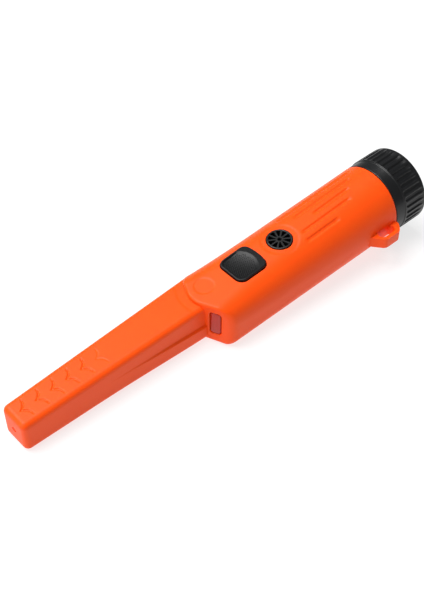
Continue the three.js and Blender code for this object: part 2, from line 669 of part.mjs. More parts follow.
// Sensor parts follow the probe's centre line.
const sensor = new THREE.Group();
const tipZ = (PROBE_TIP.top + PROBE_TIP.bottom) / 2;
const rootZ = (PROBE_ROOT.top + PROBE_ROOT.bottom) / 2;
sensor.position.set(0, PROBE_TIP.centreY, tipZ);
sensor.rotation.set(
  0,
  Math.atan2(tipZ - rootZ, ROOT_X),
  Math.atan2(PROBE_ROOT.centreY - PROBE_TIP.centreY, ROOT_X),
  'XZY',
);
frame.add(sensor);
piece(sensor, 'ferrite_rod', solid(barX(FERRITE.from, FERRITE.to, FERRITE.radius, 20)), FERRITE_GREY);
const flangesAt = [FORMER.from, 48, FORMER.to - 1.2];
const former = join(
  solid(barX(FORMER.from, FORMER.to, FORMER.outer, 24)),
  ...flangesAt.map((x) => solid(barX(x, x + 1.2, FORMER.flange, 24))),
);
const formerBore = solid(barX(FORMER.from - 1, FORMER.to + 1, FORMER.inner, 24));
piece(sensor, 'coil_former', cut(former, formerBore), WHITE_PLASTIC);
for (const { name, from, to } of COILS) {
  piece(sensor, name, sleeve(from, to, FORMER.outer + GAP, FORMER.flange - 0.2), COPPER);
}
const tipSocket = solid(barX(6.5, 20, 3.4, 20));
piece(sensor, 'tip_cushion', cut(solid(box(4.5, 11.2, -5.6, 5.6, -5.8, 5.8)), tipSocket), FOAM);
const leadHole = solid(barX(85, 95, 1.5, 12).translate(0, 4.8, 0));
const rodSocket = solid(barX(85, 90.5, 3.4, 20));
piece(sensor, 'root_cushion', cut(solid(box(87, 92, -6.8, 6.8, -7, 7)), rodSocket, leadHole), FOAM);

// Battery and its contacts.
const battery = new THREE.Group();
battery.position.set(BATTERY.front, 0, 0);
frame.add(battery);
const cell = prism(roundedBox(BATTERY.height, BATTERY.width, 2), 0, BATTERY.length).rotateY(Math.PI / 2);
const studs = [-1, 1].map((side) =>
  solid(barX(-BATTERY.stud, 0.5, side < 0 ? 2.8 : 3.6, 16).translate(0, (side * BATTERY.spacing) / 2, 0)),
);
piece(battery, 'battery', join(solid(cell), ...studs), BATTERY_GREY);
const plateFront = -BATTERY.stud - 3;
piece(battery, 'contact_plate', solid(box(plateFront, plateFront + 1.5, -13, 13, -6, 3.4)), CHIP);
for (const [name, side] of [['contact_positive', -1], ['contact_negative', 1]]) {
  const y = (side * BATTERY.spacing) / 2;
  piece(battery, name, solid(barX(plateFront + 1.8, -BATTERY.stud - GAP, 3.2, 16).translate(0, y, 0)), BRASS);
}

// Leads, clipped inside the casing.
const pointIn = (group, x, y, z) => new THREE.Vector3(x, y, z).applyMatrix4(group.matrix).toArray();
const deckPoint = (u, v, w) => pointIn(deck, u, v, w);
const LEAD = 0.5;
const boardFront = (v) => deckPoint(BOARD.front - 0.5, v, BOARD.top - 0.8);
const boardRear = (v) => deckPoint(BOARD.rear + 0.5, v, BOARD.top - 0.8);
const contactFront = BATTERY.front + plateFront - GAP;
const lead = (name, route, material) => piece(frame, name, solid(wire(route, LEAD)), material);
const batteryRoute = (y) => [boardRear(y), [contactFront - 1.5, y, -0.2], [contactFront, y, -0.3]];
const lampPoints = (...points) => points.map(([x, y, z]) => pointIn(lamp, x, y, z));
lead('coil_lead_1', [[93, 5.6, -3.2], [100, 5.2, -3.0], [107, 3.4, -3.2], boardFront(3)], COPPER);
lead('coil_lead_2', [[93, 8.2, -3.2], [100, 8.0, -3.0], [107, 7.2, -3.2], boardFront(7)], COPPER);
lead('lamp_lead_red', [...lampPoints([9.7, 2.4, 1.5], [10.4, 2.6, 0.6]), boardFront(-1.5)], RED_WIRE);
lead('lamp_lead_black', [...lampPoints([9.7, 0.4, -3], [10.2, 0.3, -2.8]), boardFront(-5)], BLACK_WIRE);
lead('battery_lead_red', batteryRoute(-6.3), RED_WIRE);
lead('battery_lead_black', batteryRoute(6.3), BLACK_WIRE);

// ---------------------------------------------------------------- placing on the floor

// The object lies on the lower edge of its tip and on the front of the cap's grip.
const tipDrop = -probeSection(TIP_EDGE).bottom;
frame.rotation.y = -Math.atan2(CAP.grip - tipDrop, CAP.gripFrom - TIP_EDGE);

const pinpointer = new THREE.Group();
pinpointer.name = 'pinpointer_probe';
pinpointer.add(frame);
pinpointer.updateMatrixWorld(true);
const bounds = new THREE.Box3().setFromObject(pinpointer, true);
const middle = bounds.getCenter(new THREE.Vector3());
frame.position.set(-middle.x, -middle.y, -bounds.min.z);

export default pinpointer;
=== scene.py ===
"""Looks of a hand-held pinpointer probe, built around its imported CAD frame.

The sizes below are millimetres in the probe's own axes: x runs along the cap's axis from the
probe's tip to the end of the cap, z is up through the power button, and the lamp window and
the lanyard lug are on the -y side. WorkingFrame turns them into the row frame, in metres.
"""

from __future__ import annotations

import json
import logging
import math
from dataclasses import dataclass, field
from enum import Enum
from typing import Callable, Optional, Sequence

import bpy
import numpy as np
from mathutils import Matrix


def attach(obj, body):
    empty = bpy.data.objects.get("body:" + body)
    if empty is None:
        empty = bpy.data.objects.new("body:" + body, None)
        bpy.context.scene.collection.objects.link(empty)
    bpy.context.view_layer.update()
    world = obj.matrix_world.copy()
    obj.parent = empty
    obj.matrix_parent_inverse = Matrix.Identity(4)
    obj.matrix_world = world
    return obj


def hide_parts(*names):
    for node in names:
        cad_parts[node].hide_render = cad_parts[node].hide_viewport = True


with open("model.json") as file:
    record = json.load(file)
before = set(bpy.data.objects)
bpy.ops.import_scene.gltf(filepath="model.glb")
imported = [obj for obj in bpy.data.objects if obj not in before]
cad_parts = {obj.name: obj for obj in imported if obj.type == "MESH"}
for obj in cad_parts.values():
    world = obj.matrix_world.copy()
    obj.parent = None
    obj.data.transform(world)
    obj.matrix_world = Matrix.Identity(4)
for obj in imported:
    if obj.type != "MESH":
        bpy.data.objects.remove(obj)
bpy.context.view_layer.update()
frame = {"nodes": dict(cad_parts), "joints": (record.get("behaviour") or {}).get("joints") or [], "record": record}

LOG = logging.getLogger("pinpointer")
MM = 0.001

Array = np.ndarray


# ------------------------------------------------------------------ places


@dataclass(frozen=True)
class Plane:
    """A place with its own three axes, in the probe's working millimetres."""

    origin: tuple[float, float, float]
    u: tuple[float, float, float]
    v: tuple[float, float, float]
    w: tuple[float, float, float]

    def points(self, local: Array) -> Array:
        """Working points of local (u, v, w) points."""
        return np.asarray(self.origin) + np.asarray(local, float) @ np.array([self.u, self.v, self.w])


class WorkingFrame:
    """The probe's own axes, found from the cap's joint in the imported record."""

    PIVOT_X = 214.0

    def __init__(self, joints: Sequence[dict]) -> None:
        """Reads the axis that the cap turns about.

        Args:
            joints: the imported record's joints.
        """
        turn = next(j for j in joints if j["name"] == "cap_turn")
        along = np.array(turn["axis"], float)
        along /= np.linalg.norm(along)
        across = np.array([0.0, 1.0, 0.0])
        self.axes = np.stack([along, across, np.cross(along, across)])
        self.origin = np.array(turn["pos_m"], float) - along * self.PIVOT_X * MM

    def place(self, points: Array) -> Array:
        """Row-frame points in metres of working points in millimetres."""
        return self.origin + (np.asarray(points, float) * MM) @ self.axes

    def own_metres(self, placed: Array) -> Array:
        """Points along the probe's own axes, still in metres, of row-frame points."""
        return (placed - self.origin) @ self.axes.T


WORKING = WorkingFrame(frame["joints"])
LEVEL = Plane((0, 0, 0), (1, 0, 0), (0, 1, 0), (0, 0, 1))
CAP_AXIS = Plane((0, 0, 0), (0, 1, 0), (0, 0, 1), (1, 0, 0))


# ------------------------------------------------------------------ shape rules


def smooth(value: Array, start: float, end: float) -> Array:
    """0 before start and 1 after end, with a smooth turn between them."""
    t = np.clip((value - start) / (end - start), 0.0, 1.0)
    return t * t * (3.0 - 2.0 * t)


def round_angles(count: int) -> Array:
    """Evenly spaced angles once round."""
    return np.arange(count) * 2 * math.pi / count


def rounded_corner(a: Array, b: Array, cosine: Array | float, radius: Array | float) -> Array:
    """Height above two surfaces that meet in an edge of this radius.

    Args:
        a: height above the first surface, negative inside.
        b: height above the second surface.
        cosine: cosine of the angle between the two outward directions.
        radius: radius of the edge.

    Returns:
        The height above the rounded pair, negative inside.
    """
    ra, rb = a + radius, b + radius
    share_a, share_b = ra - cosine * rb, rb - cosine * ra
    across = np.maximum(share_a * ra + share_b * rb, 0.0) / (1.0 - np.square(cosine))
    return np.where((share_a > 0) & (share_b > 0), np.sqrt(across) - radius, np.maximum(a, b))


@dataclass
class Section:
    """A rounded box across the probe, at one or at many places along it."""

    half_width: Array
    top: Array
    bottom: Array
    centre_y: Array
    edge: Array
    low_edge: Optional[Array] = None

    @property
    def half_height(self) -> Array:
        """Half of the height."""
        return (self.top - self.bottom) / 2

    @property
    def centre_z(self) -> Array:
        """Height of the middle."""
        return (self.top + self.bottom) / 2

    def shrunk(self, inset: Array | float) -> "Section":
        """The same section with its skin moved inwards.

        Args:
            inset: how far it moves.

        Returns:
            The smaller section.
        """
        edge = np.maximum(self.edge - inset, 0.6)
        low = None if self.low_edge is None else np.maximum(self.low_edge - inset, 0.6)
        return Section(
            self.half_width - inset, self.top - inset, self.bottom + inset, self.centre_y, edge, low
        )

    def reach(self, y: Array, z: Array) -> tuple[Array, Array, Array]:
        """How far a point is past the flat parts.

        Args:
            y: place across the probe.
            z: place upwards.

        Returns:
            The rounding radius there, and how far past it is sideways and upwards.
        """
        edge = self.edge
        if self.low_edge is not None:
            edge = np.where(z < self.centre_z, self.low_edge, edge)
        edge = np.minimum(edge, np.minimum(self.half_width, self.half_height))
        side = np.abs(y - self.centre_y) - (self.half_width - edge)
        rise = np.abs(z - self.centre_z) - (self.half_height - edge)
        return edge, side, rise

    def height(self, y: Array, z: Array) -> Array:
        """Distance outside the skin, negative inside.

        Args:
            y: place across the probe.
            z: place upwards.

        Returns:
            The distance.
        """
        edge, side, rise = self.reach(y, z)
        outside = np.hypot(np.maximum(side, 0), np.maximum(rise, 0))
        return outside + np.minimum(np.maximum(side, rise), 0) - edge

    def sideways(self, y: Array, z: Array) -> Array:
        """How far the skin faces sideways.

        Args:
            y: place across the probe.
            z: place upwards.

        Returns:
            0 on top or below, 1 on a side.
        """
        _, side, rise = self.reach(y, z)
        over = np.hypot(np.maximum(side, 0), np.maximum(rise, 0))
        flat = np.where(side > rise, 1.0, 0.0)
        return np.where(over > 1e-6, np.maximum(side, 0) / np.maximum(over, 1e-6), flat)

    def top_at(self, y: Array) -> Array:
        """Height of the upper skin at this y."""
        edge, side, _ = self.reach(y, self.top)
        return self.top - edge + np.sqrt(np.maximum(edge**2 - np.maximum(side, 0) ** 2, 0))

    def point_at(self, angle: Array) -> tuple[Array, Array]:
        """Point of the skin in a direction from the middle.

        Args:
            angle: the direction, from +y towards +z.

        Returns:
            Its y and z.
        """
        reach = np.full(np.broadcast(angle, self.half_width).shape, 5.0)
        for _ in range(14):
            y = self.centre_y + reach * np.cos(angle)
            z = self.centre_z + reach * np.sin(angle)
            reach = reach - self.height(y, z)
        return self.centre_y + reach * np.cos(angle), self.centre_z + reach * np.sin(angle)

    def outline(self, flats: Sequence[int], corner_steps: int) -> tuple[Array, Array]:
        """Points round the skin, anticlockwise seen against x, from the +y side.

        Args:
            flats: steps along the top, the -y side, the bottom and the +y side.
            corner_steps: steps round each corner.

        Returns:
            y and z, with the points along the last axis.
        """
        edge = self.edge[..., None]
        reach_y = (self.half_width - self.edge)[..., None]
        reach_z = (self.half_height - self.edge)[..., None]
        ys, zs = [], []
        signs = [(1, 1), (-1, 1), (-1, -1), (1, -1)]
        for quarter, (sign_y, sign_z) in enumerate(signs):
            a = (quarter + np.linspace(0, 1, corner_steps + 1)) * math.pi / 2
            ys.append(sign_y * reach_y + edge * np.cos(a))
            zs.append(sign_z * reach_z + edge * np.sin(a))
            next_y, next_z = signs[(quarter + 1) % 4]
            t = np.linspace(0, 1, flats[quarter] + 1)[1:-1]
            end = (quarter + 1) * math.pi / 2
            ys.append(reach_y * (sign_y + (next_y - sign_y) * t) + edge * math.cos(end))
            zs.append(reach_z * (sign_z + (next_z - sign_z) * t) + edge * math.sin(end))
        y = np.concatenate(ys, -1) + np.asarray(self.centre_y)[..., None]
        z = np.concatenate(zs, -1) + np.asarray(self.centre_z)[..., None]
        return y, z


def settle(points: Array, height: Callable[[Array], Array], rounds: int = 7) -> Array:
    """Moves points along the steepest way until their height is zero.

    Args:
        points: working points, with the coordinates along the last axis.
        height: gives each point's height above the wanted skin.
        rounds: how many times to move them.

    Returns:
        The moved points.
    """
    for _ in range(rounds):
        slope = slope_of(points, height)
        size = np.maximum(np.square(slope).sum(-1, keepdims=True), 0.05)
        points = points - height(points)[..., None] * slope / size
    return points


def slope_of(points: Array, height: Callable[[Array], Array], step: float = 0.02) -> Array:
    """The direction in which the height grows, and how fast."""
    sides = [height(points + step * e) - height(points - step * e) for e in np.eye(3)]
    return np.stack(sides, -1) / (2 * step)


def plan_outline(corners: Sequence[tuple[float, float, float]], grow: float, steps: int) -> Array:
    """Anticlockwise outline from corners with radii, moved outwards by a distance.

    Args:
        corners: (u, v, radius) of each corner, anticlockwise.
        grow: how far the outline moves outwards.
        steps: steps round each corner.

    Returns:
        The outline's points, one row each.
    """
    found = []
    count = len(corners)
    for i, (u, v, radius) in enumerate(corners):
        here = np.array([u, v])
        before = np.array(corners[i - 1][:2])
        after = np.array(corners[(i + 1) % count][:2])
        way_in = (here - before) / np.linalg.norm(here - before)
        way_out = (after - here) / np.linalg.norm(after - here)
        out_1 = np.array([way_in[1], -way_in[0]])
        out_2 = np.array([way_out[1], -way_out[0]])
        bend = 1 + out_1 @ out_2
        moved = here + (out_1 + out_2) * grow / bend
        r = max(radius + grow, 0.05)
        centre = moved - (out_1 + out_2) * r / bend
        start = math.atan2(out_1[1], out_1[0])
        turn = (math.atan2(out_2[1], out_2[0]) - start) % (2 * math.pi)
        for k in range(steps + 1):
            a = start + turn * k / steps
            found.append(centre + r * np.array([math.cos(a), math.sin(a)]))
    return np.array(found)


def evened(outline: Array, count: int) -> Array:
    """The same closed outline with evenly spaced points.

    Args:
        outline: its points, one row each.
        count: how many points are wanted.

    Returns:
        The new points.
    """
    closed = np.vstack([outline, outline[:1]])
    along = np.concatenate([[0], np.cumsum(np.linalg.norm(np.diff(closed, axis=0), axis=1))])
    wanted = np.linspace(0, along[-1], count, endpoint=False)
    return np.stack([np.interp(wanted, along, closed[:, k]) for k in range(2)], -1)


# ------------------------------------------------------------------ meshes


class Join(Enum):
    """How one solid changes another."""

    ADD = "UNION"
    CUT = "DIFFERENCE"


def new_object(name: str, data: Optional[bpy.types.ID]) -> bpy.types.Object:
    """Puts new data into the scene.

    Args:
        name: the object's name.
        data: its mesh, light or camera.

    Returns:
        The new object, at the origin.
    """
    obj = bpy.data.objects.new(name, data)
    bpy.context.scene.collection.objects.link(obj)
    return obj


def mesh_object(name: str, points: Array, faces: Sequence[Sequence[int]]) -> bpy.types.Object:
    """Closed mesh from working points, with its faces turned outwards.

    Args:
        name: the piece's name.
        points: working points in millimetres, one row each.
        faces: corner numbers of each face, all wound the same way.

    Returns:
        The new object, at the origin.
    """
    placed = WORKING.place(points)
    mesh = bpy.data.meshes.new(name)
    mesh.from_pydata(placed.tolist(), [], [list(map(int, f)) for f in faces])
    middle = placed.mean(0)
    volume = 0.0
    for f in faces:
        a, b = placed[f[0]] - middle, placed[f[1]] - middle
        for k in range(2, len(f)):
            c = placed[f[k]] - middle
            volume += float(a @ np.cross(b, c))
            b = c
    if volume < 0:
        mesh.flip_normals()
    return new_object(name, mesh)


def loft(
    name: str,
    rings: Array,
    ends: tuple[Optional[Array], Optional[Array]] = (None, None),
) -> bpy.types.Object:
    """Closed skin over rings of equal point counts.

    Args:
        name: the piece's name.
        rings: working points, ring by ring.
        ends: the middle point of each end; None takes the ring's own middle.

    Returns:
        The new object.
    """
    rows, columns = rings.shape[:2]
    points = rings.reshape(-1, 3)
    here = np.arange(rows * columns).reshape(rows, columns)
    after = np.roll(here, -1, axis=1)
    quads = np.stack([here[:-1], after[:-1], after[1:], here[1:]], -1).reshape(-1, 4)
    faces: list[Sequence[int]] = quads.tolist()
    caps = []
    for number, (row, reverse) in enumerate([(0, True), (rows - 1, False)]):
        middle = rings[row].mean(0) if ends[number] is None else ends[number]
        index = rows * columns + len(caps)
        caps.append(middle)
        for k in range(columns):
            pair = (here[row, k], after[row, k])
            faces.append((index, pair[1], pair[0]) if reverse else (index, pair[0], pair[1]))
    return mesh_object(name, np.vstack([points, caps]), faces)


def turned(
    name: str, profile: Sequence[tuple[float, float]], sides: int, plane: Plane
) -> bpy.types.Object:
    """Solid turned about a plane's w axis.

    Args:
        name: the piece's name.
        profile: (radius, w) pairs, the first and last on the axis.
        sides: steps round it.
        plane: where it stands.

    Returns:
        The new object.
    """
    angles = round_angles(sides)
    rings = []
    for radius, w in profile[1:-1]:
        ring = np.stack([radius * np.cos(angles), radius * np.sin(angles), np.full(sides, w)], -1)
        rings.append(plane.points(ring))
    ends = [plane.points(np.array([0.0, 0.0, w])) for _, w in (profile[0], profile[-1])]
    return loft(name, np.array(rings), (ends[0], ends[1]))


def stack(name: str, layers: Sequence[tuple[Array, Array | float]], plane: Plane) -> bpy.types.Object:
    """Solid from flat outlines at rising heights.

    Args:
        name: the piece's name.
        layers: (outline, height) pairs; a height may be one value for each point.
        plane: where it stands.

    Returns:
        The new object.
    """
    rings = []
    for outline, w in layers:
        heights = np.broadcast_to(w, outline.shape[:1])
        rings.append(plane.points(np.column_stack([outline, heights])))
    return loft(name, np.array(rings))


def combine(base: bpy.types.Object, tools: Sequence[tuple[bpy.types.Object, Join]]) -> bpy.types.Object:
    """Adds or cuts away solids, one after another, and removes them.

    Args:
        base: the solid that is changed.
        tools: the other solids and what each does.

    Returns:
        The base, with its new mesh.
    """
    for tool, way in tools:
        change = base.modifiers.new("join", "BOOLEAN")
        change.operation = way.value
        change.solver = "MANIFOLD"
        change.object = tool
    bake(base)
    for tool, _ in tools:
        mesh = tool.data
        bpy.data.objects.remove(tool)
        bpy.data.meshes.remove(mesh)
    return base


def bake(obj: bpy.types.Object) -> bpy.types.Object:
    """Turns an object's modifiers into plain mesh.

    Args:
        obj: the object.

    Returns:
        The same object.
    """
    graph = bpy.context.evaluated_depsgraph_get()
    graph.update()
    made = bpy.data.meshes.new_from_object(obj.evaluated_get(graph), depsgraph=graph)
    old = obj.data
    obj.modifiers.clear()
    obj.data = made
    made.name = obj.name
    if old.users == 0:
        bpy.data.meshes.remove(old)
    return obj


def rounded(obj: bpy.types.Object, width: float, segments: int = 3) -> bpy.types.Object:
    """Rounds an object's sharp edges.

    Args:
        obj: the solid.
        width: how far the rounding reaches, in millimetres.
        segments: faces across the rounding.

    Returns:
        The object, with plain mesh.
    """
    change = obj.modifiers.new("edge", "BEVEL")
    change.width = width * MM
    change.segments = segments
    change.limit_method = "ANGLE"
    change.angle_limit = math.radians(40)
    return bake(obj)


def finished(
    obj: bpy.types.Object,
    material: bpy.types.Material,
    body: str,
    replaced: Sequence[str] = (),
    crease: float = 32.0,
) -> bpy.types.Object:
    """Smooths, paints and mounts a piece.

    Args:
        obj: the piece, in place.
        material: its finish.
        body: the CAD body that it rides on.
        replaced: CAD nodes that it stands for.
        crease: edges sharper than this many degrees stay crisp.

    Returns:
        The piece.
    """
    mesh = obj.data
    mesh.shade_smooth()
    mesh.set_sharp_from_angle(angle=math.radians(crease))
    mesh.materials.clear()
    mesh.materials.append(material)
    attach(obj, body)
    if replaced:
        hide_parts(*replaced)
    LOG.info("%s: %d faces on %s", obj.name, len(mesh.polygons), body)
    return obj


# ------------------------------------------------------------------ finishes


def linear(colour: str) -> tuple[float, float, float, float]:
    """Linear colour of an sRGB value.

    Args:
        colour: the value in hex.

    Returns:
        Red, green, blue and full alpha.
    """
    parts = [int(colour.lstrip("#")[k : k + 2], 16) / 255 for k in (0, 2, 4)]
    turned_parts = [p / 12.92 if p <= 0.04045 else ((p + 0.055) / 1.055) ** 2.4 for p in parts]
    return (turned_parts[0], turned_parts[1], turned_parts[2], 1.0)


def add_node(tree: bpy.types.NodeTree, kind: str, links: dict, **settings: object) -> bpy.types.Node:
    """Adds a node.

    Args:
        tree: the tree that it joins.
        kind: Blender's name for its type.
        links: for each input, by name or number, the socket that feeds it or its value.
        **settings: the node's own settings.

    Returns:
        The new node.
    """
    node = tree.nodes.new(kind)
    for key, value in settings.items():
        setattr(node, key, value)
    for key, value in links.items():
        if isinstance(value, bpy.types.NodeSocket):
            tree.links.new(value, node.inputs[key])
        else:
            node.inputs[key].default_value = value
    return node


def noise(
    tree: bpy.types.NodeTree,
    where: bpy.types.NodeSocket,
    size_mm: float,
    detail: float,
    roughness: float = 0.5,
) -> bpy.types.NodeSocket:
    """Noise whose features are about this size.

    Args:
        tree: the material's tree.
        where: the place that it is worked out for.
        size_mm: size of its features in millimetres.
        detail: how many finer layers it has.
        roughness: how strong the finer layers are.

    Returns:
        Its value.
    """
    links = {"Vector": where, "Scale": 1.0 / (size_mm * MM), "Detail": detail, "Roughness": roughness}
    return add_node(tree, "ShaderNodeTexNoise", links).outputs["Fac"]


def bare_material(name: str) -> bpy.types.Material:
    """New material with an empty tree of nodes.

    Args:
        name: the material's name.

    Returns:
        The material.
    """
    made = bpy.data.materials.new(name)
    made.use_nodes = True
    made.node_tree.nodes.clear()
    return made


@dataclass(frozen=True)
class Moulded:
    """A moulded or cast surface: mottled colour under a fine grain of raised specks.

    spread is how far the roughness varies, glow is the share of light carried under the skin,
    shine is the strength of the reflections, and light is what the surface gives off itself.
    """

    name: str
    colour: str
    mottle: str
    roughness: float
    grain_mm: float
    grain_height_mm: float
    mottle_mm: float = 9.0
    spread: float = 0.07
    glow: float = 0.0
    coat: float = 0.0
    sheen: float = 0.0
    metallic: float = 0.0
    ior: float = 1.5
    shine: float = 0.5
    light: float = 0.0
    stretch: tuple[float, float, float] = (1.0, 1.0, 1.0)

    def material(self) -> bpy.types.Material:
        """Makes the material's nodes.

        Returns:
            The material.
        """
        made = bare_material(self.name)
        tree = made.node_tree
        place = add_node(tree, "ShaderNodeTexCoord", {})
        turned_place = add_node(
            tree, "ShaderNodeMapping", {"Vector": place.outputs["Object"], "Scale": self.stretch}
        )
        where = turned_place.outputs["Vector"]
        mottle = noise(tree, where, self.mottle_mm, 3.0, 0.55)
        grain = noise(tree, where, self.grain_mm, 2.0, 0.6)
        tint = add_node(
            tree,
            "ShaderNodeMix",
            {"Factor": mottle, 6: linear(self.colour), 7: linear(self.mottle)},
            data_type="RGBA",
        )
        gloss = add_node(
            tree,
            "ShaderNodeMapRange",
            {"Value": grain, 3: self.roughness - self.spread, 4: self.roughness + self.spread},
        )
        bump = add_node(
            tree,
            "ShaderNodeBump",
            {"Height": grain, "Strength": 0.6, "Distance": self.grain_height_mm * MM},
        )
        shader = add_node(
            tree,
            "ShaderNodeBsdfPrincipled",
            {
                "Base Color": tint.outputs[2],
                "Roughness": gloss.outputs["Result"],
                "Normal": bump.outputs["Normal"],
                "Metallic": self.metallic,
                "Coat Weight": self.coat,
                "Coat Roughness": 0.22,
                "Specular IOR Level": self.shine,
                "Sheen Weight": self.sheen,
            },
        )
        if self.metallic == 0.0:
            shader.inputs["IOR"].default_value = self.ior
        if self.light > 0:
            shader.inputs["Emission Color"].default_value = linear(self.colour)
            shader.inputs["Emission Strength"].default_value = self.light
        if self.glow > 0:
            shader.inputs["Subsurface Weight"].default_value = self.glow
            shader.inputs["Subsurface Radius"].default_value = (1.0, 0.25, 0.1)
            shader.inputs["Subsurface Scale"].default_value = 1.2 * MM
        add_node(tree, "ShaderNodeOutputMaterial", {"Surface": shader.outputs["BSDF"]})
        return made


@dataclass(frozen=True)
class ClearMoulding:
    """A see-through moulding, wholly or in part, with the faint waviness of a small part."""

    name: str
    colour: str
    roughness: float
    clearness: float = 0.8
    shine: float = 0.5
    ior: float = 1.58
    wave_mm: float = 2.5

    def material(self) -> bpy.types.Material:
        """Makes the material's nodes.

        Returns:
            The material.
        """
        made = bare_material(self.name)
        tree = made.node_tree
        place = add_node(tree, "ShaderNodeTexCoord", {})
        wave = noise(tree, place.outputs["Object"], self.wave_mm, 1.0)
        bump = add_node(
            tree,
            "ShaderNodeBump",
            {"Height": wave, "Strength": 0.4, "Distance": 0.05 * MM},
        )
        shader = add_node(
            tree,
            "ShaderNodeBsdfPrincipled",
            {
                "Base Color": linear(self.colour),
                "Roughness": self.roughness,
                "IOR": self.ior,
                "Transmission Weight": self.clearness,
                "Specular IOR Level": self.shine,
                "Normal": bump.outputs["Normal"],
            },
        )
        add_node(tree, "ShaderNodeOutputMaterial", {"Surface": shader.outputs["BSDF"]})
        return made


# Each finish has a note on what it gives the eye.

# Casing: an even warm orange with a soft satin gloss, a little light carried under the skin,
# and a grain from the spark-eroded mould that only shows close to.
ORANGE_ABS = Moulded(
    "satin_orange_abs", "#FF5408", "#FC4F05", 0.44, 0.22, 0.012, 16.0, 0.05, glow=0.12, shine=0.22
)
# Cap: near black, with a grey sheen along the lands between its flutes.
BLACK_ABS = Moulded("satin_black_abs", "#0E0F10", "#141517", 0.32, 0.25, 0.015, shine=0.4)
# Button: deeper black than the cap, with a soft highlight on the rim and a faint bloom.
SILICONE = Moulded(
    "black_silicone_rubber", "#0B0C0D", "#101112", 0.34, 0.18, 0.01, sheen=0.02, ior=1.41, shine=0.34
)
# Seals: dull black rubber that stands off from the glossier plug.
NITRILE = Moulded("black_nitrile_seal", "#121213", "#191919", 0.42, 0.3, 0.01, ior=1.52)
# Grille: charcoal plastic, a shade lighter than the cap, so that its slots read as dark.
GRILLE_ABS = Moulded("satin_black_grille", "#141516", "#1A1B1C", 0.36, 0.2, 0.012, shine=0.35)
# Sounder's diaphragm: matt woven black that swallows the light behind the grille.
SPEAKER_CLOTH = Moulded("black_speaker_cloth", "#0B0B0C", "#141415", 0.9, 0.35, 0.12, sheen=0.3)
# Inner frame and formers: warm white that lets a little light into its edges.
WHITE_NYLON = Moulded(
    "natural_white_nylon", "#DAD9D1", "#CFCEC5", 0.45, 0.4, 0.02, glow=0.1, ior=1.53
)
# Chips: dark grey and nearly matt, with the fine sand of a moulded package.
EPOXY = Moulded("black_moulding_epoxy", "#18181A", "#212123", 0.55, 0.15, 0.02)
# Boards: clouded green under a thin clear gloss.
SOLDER_MASK = Moulded(
    "green_solder_mask", "#17602F", "#1E6F38", 0.3, 0.9, 0.02, mottle_mm=4.0, coat=0.3
)
# Cans and legs: bright silvery metal with softly clouded reflections.
TINPLATE = Moulded("tinned_steel", "#BFC2C6", "#A9ACB1", 0.3, 0.5, 0.01, metallic=1.0)
# Screws: a cooler, greyer metal than the tinned parts.
SCREW_STEEL = Moulded("zinc_plated_steel", "#B3B7BC", "#9DA1A8", 0.32, 0.3, 0.01, metallic=1.0)
# Motor's weight: dull dark metal with the specks of pressed powder.
TUNGSTEN = Moulded("sintered_tungsten", "#77777B", "#66666B", 0.5, 0.2, 0.02, metallic=1.0)
# Sensing rod: matt charcoal, like fired clay.
FERRITE = Moulded("sintered_ferrite", "#3B3C3F", "#2F3033", 0.6, 0.2, 0.02)
# Coils: glossy copper brown, with the grain drawn long round the coil like wound wire.
WINDING = Moulded(
    "enamelled_copper_winding",
    "#B4602A",
    "#8C4219",
    0.28,
    0.4,
    0.1,
    metallic=1.0,
    stretch=(1.0, 0.06, 0.06),
)
# Contacts: warm yellow metal with a clean soft shine.
BRASS = Moulded("nickel_brass_contact", "#C9A85A", "#B8964A", 0.3, 0.4, 0.01, metallic=1.0)
# Battery: slate blue under a clear lacquer with sharp highlights.
BATTERY_SKIN = Moulded("lacquered_battery_can", "#3C4654", "#333C49", 0.3, 0.6, 0.01, coat=0.5)
# Positive leads: plain red plastic with a soft shine.
RED_PVC = Moulded("red_lead_insulation", "#B5221D", "#A11B17", 0.4, 0.3, 0.01)
# Negative leads: plain soft black, lighter than the rubber.
BLACK_PVC = Moulded("black_lead_insulation", "#1D1D1E", "#262627", 0.42, 0.3, 0.01)
# Cushions: mid-grey foam with no shine and a coarse open grain.
PU_FOAM = Moulded("closed_cell_foam", "#4B4C50", "#3D3E42", 0.9, 0.5, 0.2, sheen=0.2)
# Lamp window: a glossy pane, only partly clear. Its red colour is painted reflection: it stands in for the orange
# casing's light seen in and through the pane, which on the real probe may be plain clear.
WINDOW_PC = ClearMoulding("polycarbonate_with_painted_reflection", "#D2321A", 0.08, clearness=0.3, shine=0.25)
# Lamp: milky white with a wet gloss.
LAMP_EPOXY = Moulded("water_clear_lamp_epoxy", "#F4EEEA", "#E9E2DD", 0.12, 0.6, 0.01, coat=0.6)
# Floor: an even pale grey that gives off light itself, so that it stays nearly white.
LIT_SWEEP = Moulded(
    "lit_white_sweep", "#989898", "#949494", 0.9, 2.0, 0.0, 60.0, shine=0.1, light=2.35
)

SLOT_FINISHES = {
    "orange_casing": ORANGE_ABS,
    "black_cap": BLACK_ABS,
    "seal_rubber": NITRILE,
    "white_plastic": WHITE_NYLON,
    "foam": PU_FOAM,
    "button_rubber": SILICONE,
    "chip_plastic": EPOXY,
    "black_grille": GRILLE_ABS,
    "circuit_board": SOLDER_MASK,
    "tinned_metal": TINPLATE,
    "tungsten": TUNGSTEN,
    "clear_window": WINDOW_PC,
    "ferrite": FERRITE,
    "copper_wire": WINDING,
    "battery_can": BATTERY_SKIN,
    "contact_brass": BRASS,
    "red_lead": RED_PVC,
    "black_lead": BLACK_PVC,
    "screw_steel": SCREW_STEEL,
}


